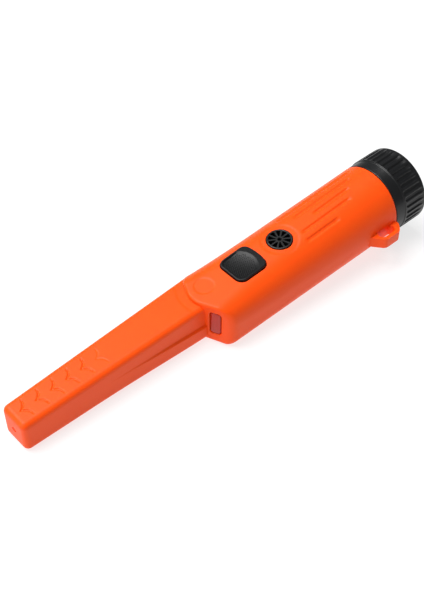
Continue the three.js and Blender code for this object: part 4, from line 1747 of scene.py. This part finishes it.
@dataclass
class PowerButton:
    """Rubber button: a raised rim round a scooped thumb pad with small grip dots."""

    casing: Casing
    rise: float = 0.9
    skirt: float = -3.4
    flange: float = -4.6
    flange_grow: float = 1.2
    stem_radius: float = 1.6
    stem_end: float = -8.9
    edge: float = 0.5
    rim_width: float = 0.75
    dish_radius: float = 8.9
    dish_depth: float = 1.15
    dish_power: float = 0.75
    dish_u: float = -2.4
    dot_pitch: float = 1.05
    dot_radius: float = 0.33
    dot_height: float = 0.2
    dot_field: float = 7.6
    dot_margin: float = 1.9

    def dish(self, local: Array) -> Array:
        """Depth of the scoop.

        Args:
            local: (u, v) points on the deck.

        Returns:
            The depths.
        """
        y = self.casing.button.y
        away = np.hypot(local[:, 0] - self.dish_u, local[:, 1] - y) / self.dish_radius
        return self.dish_depth * np.maximum(1 - away**2, 0) ** self.dish_power

    def build(self, paint: Paint) -> None:
        """Builds the button and its dots and mounts them.

        Args:
            paint: hands out the finishes.
        """
        shape = self.casing.button
        plane = self.casing.deck.plane()
        first = shape.outline(0.0)
        angles = round_angles(len(first)) + math.atan2(first[0, 1] - shape.y, first[0, 0])
        circle = np.stack([np.cos(angles), np.sin(angles)], -1)
        centre = np.array([0.0, shape.y])

        def stem(radius: float) -> Array:
            """Outline of the round stem."""
            return circle * radius

        layers: list[tuple[Array, Array | float]] = [
            (stem(self.stem_radius - 0.2), self.stem_end),
            (stem(self.stem_radius), self.stem_end + 0.2),
            (stem(self.stem_radius), self.flange),
            (shape.outline(self.flange_grow), self.flange),
            (shape.outline(self.flange_grow), self.skirt),
            (shape.outline(0.0), self.skirt),
        ]
        for w in (-2.0, -0.5):
            layers.append((shape.outline(0.0), w))
        for a in np.linspace(0, math.pi / 2, 8):
            grow = -self.edge * (1 - math.cos(a))
            layers.append((shape.outline(grow), self.rise - self.edge * (1 - math.sin(a))))
        inset = self.edge
        while inset < self.rim_width + 1.0:
            inset += 0.1
            ring = shape.outline(-inset)
            share = smooth(np.array(inset), self.rim_width, self.rim_width + 0.7)
            layers.append((ring, self.rise - self.dish(ring) * share))
        rim = layers[-1][0]
        for share in np.linspace(1, 0.03, 34)[1:]:
            inner = centre + (rim - centre) * share
            layers.append((inner, self.rise - self.dish(inner)))
        button = stack("button_cap", layers, plane)
        rubber = paint.get(SILICONE)
        finished(button, rubber, "button", ["power_button"])
        self.dots(plane, rubber)

    def dots(self, plane: Plane, rubber: bpy.types.Material) -> None:
        """Covers the scoop with small domes in staggered rows.

        Args:
            plane: the deck's plane at the button.
            rubber: the button's material.
        """
        shape = self.casing.button
        sizes = {
            "Pitch": self.dot_pitch * MM,
            "Dot Radius": self.dot_radius * MM,
            "Dot Height": self.dot_height * MM,
            "Field Radius": self.dot_field * MM,
            "Half Length": (shape.length / 2 - self.dot_margin) * MM,
            "Half Width": (shape.width / 2 - self.dot_margin) * MM,
            "Corner": (shape.corner - self.dot_margin) * MM,
            "Off Middle": self.dish_u * MM,
            "Dish Radius": self.dish_radius * MM,
            "Dish Depth": self.dish_depth * MM,
            "Rows": int(2 * self.dot_field / (self.dot_pitch * ROW_RISE)) + 2,
        }
        tree = node_tree("button_dots", sizes)
        given = tree.nodes.new("NodeGroupInput").outputs
        sums = Sums(tree)
        span = sums.of("MULTIPLY", sums.of("SUBTRACT", given["Rows"], 1.0), given["Pitch"])
        grid = add_node(
            tree,
            "GeometryNodeMeshGrid",
            {
                "Size X": span,
                "Size Y": sums.of("MULTIPLY", span, ROW_RISE),
                "Vertices X": given["Rows"],
                "Vertices Y": given["Rows"],
            },
        ).outputs["Mesh"]
        number = add_node(tree, "GeometryNodeInputIndex", {}).outputs[0]
        odd = sums.of("MODULO", sums.of("MODULO", number, given["Rows"]), 2.0)
        aside = sums.vector(X=sums.of("MULTIPLY", sums.of("MULTIPLY", odd, given["Pitch"]), 0.5))
        stagger = add_node(tree, "GeometryNodeSetPosition", {"Geometry": grid, "Offset": aside})
        place = add_node(tree, "GeometryNodeInputPosition", {}).outputs[0]
        reach = sums.of_vectors("LENGTH", place)
        here = sums.of_vectors("ADD", place, sums.vector(X=given["Off Middle"]))
        core = sums.vector(
            X=sums.of("SUBTRACT", given["Half Length"], given["Corner"]),
            Y=sums.of("SUBTRACT", given["Half Width"], given["Corner"]),
        )
        past = sums.of_vectors("SUBTRACT", sums.of_vectors("ABSOLUTE", here), core)
        gone = sums.of_vectors("LENGTH", sums.of_vectors("MAXIMUM", past, (0.0, 0.0, 0.0)))
        off_field = sums.is_more(reach, given["Field Radius"])
        off_pad = sums.is_more(gone, given["Corner"])
        either = add_node(tree, "FunctionNodeBooleanMath", {0: off_field, 1: off_pad}, operation="OR")
        kept = add_node(
            tree,
            "GeometryNodeDeleteGeometry",
            {"Geometry": stagger.outputs[0], "Selection": either.outputs[0]},
            domain="POINT",
        )
        share = sums.of("DIVIDE", reach, given["Dish Radius"])
        left = sums.of("SUBTRACT", 1.0, sums.of("POWER", share, 2.0))
        sunk = sums.of("MULTIPLY", sums.of("POWER", left, self.dish_power), given["Dish Depth"])
        drop = sums.vector(Z=sums.of("MULTIPLY", sunk, -1.0))
        laid = add_node(tree, "GeometryNodeSetPosition", {"Geometry": kept.outputs[0], "Offset": drop})
        dome = add_node(
            tree, "GeometryNodeMeshUVSphere", {"Segments": 8, "Rings": 5, "Radius": given["Dot Radius"]}
        )
        flat = sums.of("DIVIDE", given["Dot Height"], given["Dot Radius"])
        spread = add_node(
            tree,
            "GeometryNodeInstanceOnPoints",
            {
                "Points": laid.outputs[0],
                "Instance": dome.outputs["Mesh"],
                "Scale": sums.vector(X=1.0, Y=1.0, Z=flat),
            },
        )
        close_tree(tree, spread.outputs[0], given["Finish"])
        holder = empty_mesh("button_dots")
        run_tree(holder, tree, sizes, rubber)
        local = vertex_points(holder.data) / MM
        local += np.array([self.dish_u, shape.y, self.rise])
        set_vertex_points(holder.data, WORKING.place(plane.points(local)))
        finished(holder, rubber, "button", crease=80)


@dataclass
class Sounder:
    """Black grille with wedge slots round a small hole, over the sounder."""

    casing: Casing
    floor: float = -4.1
    step: float = -2.9
    top: float = -0.1
    rim_width: float = 0.75
    rim_rise: float = 0.22
    slots: int = 10
    slot_inner: float = 1.9
    slot_outer: float = 5.25
    hole: float = 0.95

    def build(self, paint: Paint) -> None:
        """Builds the grille and mounts it.

        Args:
            paint: hands out the finishes.
        """
        deck = self.casing.deck
        plane = deck.plane(deck.u_of(self.casing.handle.sounder_x))
        r = self.casing.handle.sounder_radius
        top, high = self.top, self.top + self.rim_rise
        profile = [
            (0.0, self.floor),
            (r + 1.1, self.floor),
            (r + 1.1, self.step),
            (r, self.step),
            (r, high - 0.25),
            (r - 0.08, high - 0.08),
            (r - 0.25, high),
            (r - self.rim_width + 0.15, high),
            (r - self.rim_width, high - 0.06),
            (r - self.rim_width - 0.12, top),
            (1.75, top),
            (1.6, top + 0.1),
            (self.hole + 0.2, top + 0.1),
            (self.hole, top - 0.1),
            (self.hole, self.floor + 0.6),
            (0.0, self.floor + 0.6),
        ]
        disc = turned("sounder_cover", profile, 120, plane)
        cutters = self.slot_cutters(paint.get(GRILLE_ABS))
        local = vertex_points(cutters.data) / MM
        set_vertex_points(cutters.data, WORKING.place(plane.points(local)))
        combine(disc, [(cutters, Join.CUT)])
        finished(disc, paint.get(GRILLE_ABS), "handle", ["sounder_grille"])

    def slot_cutters(self, material: bpy.types.Material) -> bpy.types.Object:
        """Repeats the wedge slot's cutter round the middle, in the cover's own plane.

        Args:
            material: the finish of the cut faces.

        Returns:
            All the cutters as one object.
        """
        wedge = self.wedge()
        sizes = {"Slots": self.slots}
        tree = node_tree("grille_slots", sizes)
        given = tree.nodes.new("NodeGroupInput").outputs
        sums = Sums(tree)
        ring = add_node(tree, "GeometryNodeMeshCircle", {"Vertices": given["Slots"], "Radius": 1e-6})
        number = add_node(tree, "GeometryNodeInputIndex", {}).outputs[0]
        share = sums.of("DIVIDE", sums.of("ADD", number, 0.5), given["Slots"])
        about = sums.vector(Z=sums.of("MULTIPLY", share, 2 * math.pi))
        spread = add_node(
            tree,
            "GeometryNodeInstanceOnPoints",
            {"Points": ring.outputs[0], "Instance": given["Geometry"], "Rotation": about},
        )
        close_tree(tree, spread.outputs[0], given["Finish"])
        return run_tree(wedge, tree, sizes, material)

    def wedge(self) -> bpy.types.Object:
        """One slot's cutter, in the cover's own plane, in metres.

        Returns:
            The cutter.
        """
        spread = math.pi / self.slots
        middle = []
        for radius, share in ((self.slot_inner, 0.38), (self.slot_outer, 0.76)):
            middle.append((radius, share * spread))
        (inner, a), (outer, b) = middle
        corners = [
            (inner * math.cos(a), -inner * math.sin(a), 0.2),
            (outer * math.cos(b), -outer * math.sin(b), 0.35),
            (outer + 0.35, 0.0, 3.0),
            (outer * math.cos(b), outer * math.sin(b), 0.35),
            (inner * math.cos(a), inner * math.sin(a), 0.2),
        ]
        outline = plan_outline(corners, 0.0, 4)
        tool = stack("wedge", [(outline, -6.0), (outline, 3.0)], LEVEL)
        set_vertex_points(tool.data, WORKING.own_metres(vertex_points(tool.data)))
        return tool


# ------------------------------------------------------------------ lamp


@dataclass
class Lamp:
    """Clear window in the nose with the lamp behind it."""

    casing: Casing
    recess: float = 0.3
    thickness: float = 1.9
    edge: float = 0.45
    bulb_up: float = 1.0
    bulb_behind: float = 8.0

    def build(self, paint: Paint) -> None:
        """Builds the window and the lamp and mounts them.

        Args:
            paint: hands out the finishes.
        """
        place = self.casing.lamp
        plane = place.plane()
        face = -self.recess
        outline = place.outline
        layers: list[tuple[Array, Array | float]] = [(outline(0.0), face - self.thickness)]
        for a in np.linspace(0, math.pi / 2, 5):
            grow = -self.edge * (1 - math.cos(a))
            layers.append((outline(grow), face - self.edge * (1 - math.sin(a))))
        window = stack("lamp_cover", layers, plane)
        finished(window, paint.get(WINDOW_PC), "handle", ["lamp_window"])
        foot = plane.points(np.array([0.0, self.bulb_up, -self.bulb_behind]))
        behind = Plane(tuple(foot), plane.u, plane.v, plane.w)
        profile = [
            (0.0, 0.0),
            (1.75, 0.0),
            (1.75, 0.7),
            (1.5, 0.75),
            (1.5, 3.4),
            (1.42, 3.95),
            (1.2, 4.4),
            (0.85, 4.8),
            (0.45, 5.03),
            (0.0, 5.1),
        ]
        lamp = turned("lamp_bulb", profile, 40, behind)
        finished(lamp, paint.get(LAMP_EPOXY), "handle", ["lamp_led"])


# ------------------------------------------------------------------ cap


@dataclass
class Cap:
    """Black screw cap with finger flutes, its plug and the thread ridge."""

    casing: Casing
    front: float = 214.2
    ring: float = 19.4
    grip: float = 19.86
    grip_from: float = 220.2
    end: float = 234.96
    end_radius: float = 18.7
    flutes: int = 36
    flute_from: float = 220.8
    flute_to: float = 234.1
    flute_width: float = 2.3
    flute_depth: float = 0.8
    flute_fade: float = 4.5
    flute_first: float = math.radians(6)
    plug_front: float = 207.4
    plug_radius: float = 16.1
    cup: float = 14.1
    cup_floor: float = 210.3
    bore: float = 9.0
    bore_end: float = 230.0
    seal_x: float = 212.6
    seal_radius: float = 0.75
    seal_ring: float = 16.35
    front_edge: float = 0.35
    thread_from: float = 208.3
    thread_turns: float = 5 / 6
    thread_crest: float = 17.0

    def profile(self) -> list[tuple[float, float]]:
        """Outline of the cap's half section.

        Returns:
            (radius, x) pairs from the bore's floor round to the middle of the end.
        """
        groove = self.seal_ring - self.seal_radius - 0.3
        points = [
            (0.0, self.bore_end),
            (self.bore, self.bore_end),
            (self.bore, self.cup_floor),
            (self.cup, self.cup_floor),
            (self.cup, self.plug_front),
            (self.plug_radius - 0.3, self.plug_front),
            (self.plug_radius, self.plug_front + 0.3),
            (self.plug_radius, self.seal_x - 0.95),
            (groove, self.seal_x - 0.95),
            (groove, self.seal_x + 0.95),
            (self.plug_radius, self.seal_x + 0.95),
            (self.plug_radius, self.front),
            (self.ring - self.front_edge, self.front),
        ]
        for a in (30, 60, 90):
            turn = math.radians(a)
            radius = self.ring - self.front_edge * (1 - math.sin(turn))
            points.append((radius, self.front + self.front_edge * (1 - math.cos(turn))))
        for t in np.linspace(0, 1, 6):
            step = t * t * (3 - 2 * t)
            points.append((self.ring + (self.grip - self.ring) * step, self.grip_from - 0.5 + 0.6 * t))
        for x in np.arange(self.grip_from + 0.28, self.flute_from + 2.2, 0.17):
            points.append((self.grip, float(x)))
        for x in np.linspace(self.flute_from + 2.4, self.flute_to - 1.9, 8):
            points.append((self.grip, float(x)))
        for x in np.arange(self.flute_to - 1.7, self.end - 1.05, 0.2):
            points.append((self.grip, float(x)))
        fall = self.grip - self.end_radius
        for a in np.linspace(0, math.pi / 2, 9)[1:]:
            x = self.end - 1.0 + 1.0 * math.sin(a)
            points.append((self.grip - fall * (1 - math.cos(a)), x))
        for r in (12.0, 5.0):
            points.append((r, self.end))
        points.append((0.0, self.end))
        return points

    def build(self, paint: Paint) -> None:
        """Builds the cap and its seal and mounts them.

        Args:
            paint: hands out the finishes.
        """
        cap = turned("cap_shell", self.profile(), self.flutes * 14, CAP_AXIS)
        set_vertex_points(cap.data, WORKING.own_metres(vertex_points(cap.data)))
        self.fluted(cap, paint.get(BLACK_ABS))
        set_vertex_points(cap.data, WORKING.place(vertex_points(cap.data) / MM))
        # Half a turn apart, the two ridges run in each other's gaps.
        lead = ((self.thread_from - self.casing.thread_from) / THREAD_PITCH - 0.5) * 2 * math.pi
        radii = (self.plug_radius - THREAD_ROOTING, self.thread_crest)
        ridge = helix_ridge("ridge", self.thread_from, self.thread_turns, lead, radii)
        combine(cap, [(ridge, Join.ADD)])
        finished(cap, paint.get(BLACK_ABS), "cap", ["battery_cap"], 42)
        self.seal(paint)

    def fluted(self, cap: bpy.types.Object, material: bpy.types.Material) -> None:
        """Presses the flutes into the grip: round in front and fading out at the rear.

        Args:
            cap: the plain cap, along the probe's own axes in metres.
            material: its finish.
        """
        sizes = {
            "Flutes": self.flutes,
            "First": self.flute_first,
            "Width": self.flute_width * MM,
            "Depth": self.flute_depth * MM,
            "Grip Radius": self.grip * MM,
            "Front": self.flute_from * MM,
            "Rear": self.flute_to * MM,
        }
        tree = node_tree("cap_flutes", sizes)
        given = tree.nodes.new("NodeGroupInput").outputs
        sums = Sums(tree)
        place = add_node(tree, "GeometryNodeInputPosition", {})
        parts = add_node(tree, "ShaderNodeSeparateXYZ", {"Vector": place.outputs[0]}).outputs
        near = sums.of("MULTIPLY", parts["Y"], -1.0)
        angle = sums.of("ARCTAN2", parts["Z"], near)
        pitch = sums.of("DIVIDE", 2 * math.pi, given["Flutes"])
        turns = sums.of("DIVIDE", sums.of("SUBTRACT", angle, given["First"]), pitch)
        off = sums.of("SUBTRACT", turns, sums.of("ROUND", turns))
        arc = sums.of("MULTIPLY", sums.of("MULTIPLY", off, pitch), given["Grip Radius"])
        half = sums.of("MULTIPLY", given["Width"], 0.5)
        centre = sums.of("ADD", given["Front"], half)
        before = sums.of("MAXIMUM", sums.of("SUBTRACT", centre, parts["X"]), 0.0)
        away = sums.of("SQRT", sums.of("ADD", sums.of("POWER", arc, 2.0), sums.of("POWER", before, 2.0)))
        inside = sums.of("SUBTRACT", half, away)
        press = add_node(
            tree,
            "ShaderNodeMapRange",
            {"Value": inside, 1: -0.22 * MM, 2: 0.5 * MM, 3: 0.0, 4: 1.0},
            interpolation_type="SMOOTHSTEP",
        ).outputs["Result"]
        left = sums.of("SUBTRACT", given["Rear"], parts["X"])
        fade = add_node(
            tree,
            "ShaderNodeMapRange",
            {"Value": left, 1: 0.0, 2: self.flute_fade * MM, 3: 0.0, 4: 1.0},
            interpolation_type="SMOOTHSTEP",
        ).outputs["Result"]
        depth = sums.of("MULTIPLY", sums.of("MULTIPLY", press, fade), given["Depth"])
        floor = sums.of("SUBTRACT", given["Grip Radius"], depth)
        flat = sums.vector(Y=parts["Y"], Z=parts["Z"])
        radius = sums.of_vectors("LENGTH", flat)
        kept = sums.of("MINIMUM", radius, floor)
        scale = sums.of("DIVIDE", kept, sums.of("MAXIMUM", radius, 1e-6))
        moved = add_node(
            tree, "ShaderNodeVectorMath", {0: flat, "Scale": scale}, operation="SCALE"
        ).outputs["Vector"]
        goal = sums.of_vectors("ADD", moved, sums.vector(X=parts["X"]))
        shaped = add_node(
            tree, "GeometryNodeSetPosition", {"Geometry": given["Geometry"], "Position": goal}
        )
        close_tree(tree, shaped.outputs[0], given["Finish"])
        run_tree(cap, tree, sizes, material)

    def seal(self, paint: Paint) -> None:
        """Builds the rubber ring round the plug.

        Args:
            paint: hands out the finishes.
        """
        around, section = 96, 20
        points, faces = [], []
        for i, a in enumerate(round_angles(around)):
            for k, b in enumerate(round_angles(section)):
                r = self.seal_ring + self.seal_radius * math.cos(b)
                x = self.seal_x + self.seal_radius * math.sin(b)
                points.append((x, r * math.cos(a), r * math.sin(a)))
                here, after, m = i * section, (i + 1) % around * section, (k + 1) % section
                faces.append((here + k, after + k, after + m, here + m))
        ring = mesh_object("cap_seal", np.array(points), faces)
        finished(ring, paint.get(NITRILE), "cap", ["cap_seal_ring"])


# ------------------------------------------------------------------ studio


@dataclass
class Studio:
    """Lit pale floor, two soft boxes and the camera."""

    azimuth: float = math.radians(41.27)
    elevation: float = math.radians(47.34)
    roll: float = math.radians(-0.34)
    distance: float = 531.0
    off_x: float = 6.07
    off_y: float = 1.91
    aim: tuple[float, float, float] = (117.5, 0.0, -0.55)
    lens: float = 68.53
    sensor: float = 36.0
    floor_size: float = 6.0
    room_light: float = 0.22

    def camera(self) -> None:
        """Makes the camera at the wanted angle."""
        a, e = self.azimuth, self.elevation
        right = np.array([math.cos(a), -math.sin(a), 0.0])
        level = np.array([math.sin(a), math.cos(a), 0.0])
        ahead = level * math.cos(e) + np.array([0.0, 0.0, -math.sin(e)])
        up = np.cross(right, ahead)
        across = right * math.cos(self.roll) + up * math.sin(self.roll)
        upright = -right * math.sin(self.roll) + up * math.cos(self.roll)
        where = np.array(self.aim) - self.off_x * across - self.off_y * upright - self.distance * ahead
        data = bpy.data.cameras.new("camera")
        data.lens = self.lens
        data.sensor_fit = "VERTICAL"
        data.sensor_height = self.sensor
        data.clip_end = 20
        camera = new_object("camera", data)
        turn = np.stack([across, upright, -ahead]) @ WORKING.axes
        matrix = Matrix(turn.T.tolist()).to_4x4()
        matrix.translation = WORKING.place(where).tolist()
        camera.matrix_world = matrix
        bpy.context.scene.camera = camera

    def floor(self) -> None:
        """Lays the pale floor, which gives off some light itself."""
        half = self.floor_size / 2
        mesh = bpy.data.meshes.new("floor")
        corners = [(-half, -half, 0), (half, -half, 0), (half, half, 0), (-half, half, 0)]
        mesh.from_pydata(corners, [], [(0, 1, 2, 3)])
        floor = new_object("floor", mesh)
        mesh.materials.append(LIT_SWEEP.material())

    def light(self, name: str, place: tuple, aim: tuple, size: tuple, power: float) -> None:
        """Adds a soft box.

        Args:
            name: its name.
            place: where it stands, in metres.
            aim: the point that it faces.
            size: its width and height.
            power: its power in watts.
        """
        data = bpy.data.lights.new(name, "AREA")
        data.shape = "RECTANGLE"
        data.size, data.size_y = size
        data.energy = power
        lamp = new_object(name, data)
        back = np.array(place, float) - np.array(aim, float)
        back /= np.linalg.norm(back)
        right = np.cross([0.0, 1.0, 0.0] if abs(back[2]) > 0.95 else [0.0, 0.0, 1.0], back)
        right /= np.linalg.norm(right)
        matrix = Matrix(np.stack([right, np.cross(back, right), back]).T.tolist()).to_4x4()
        matrix.translation = place
        lamp.matrix_world = matrix

    def build(self) -> None:
        """Sets up the whole studio."""
        world = bpy.data.worlds.new("studio")
        bpy.context.scene.world = world
        world.use_nodes = True
        back = world.node_tree.nodes["Background"]
        back.inputs["Color"].default_value = linear("#FFFFFF")
        back.inputs["Strength"].default_value = self.room_light
        bpy.context.scene.view_settings.view_transform = "Standard"
        self.floor()
        self.light("key_box", (-0.25, 0.38, 1.1), (0.0, 0.0, 0.0), (0.9, 0.9), 20.0)
        self.light("left_box", (-1.0, 0.1, 0.45), (0.0, 0.0, 0.0), (0.5, 0.4), 2.6)
        self.camera()


# ------------------------------------------------------------------ assembly


def main() -> None:
    """Builds the looks in order."""
    logging.basicConfig(level=logging.INFO, format="%(message)s")
    paint = Paint()
    paint.carried_nodes()
    casing = Casing()
    casing.build(paint)
    for part in (PowerButton(casing), Sounder(casing), Lamp(casing), Cap(casing)):
        part.build(paint)
    Studio().build()


if __name__ == "__main__":
    main()
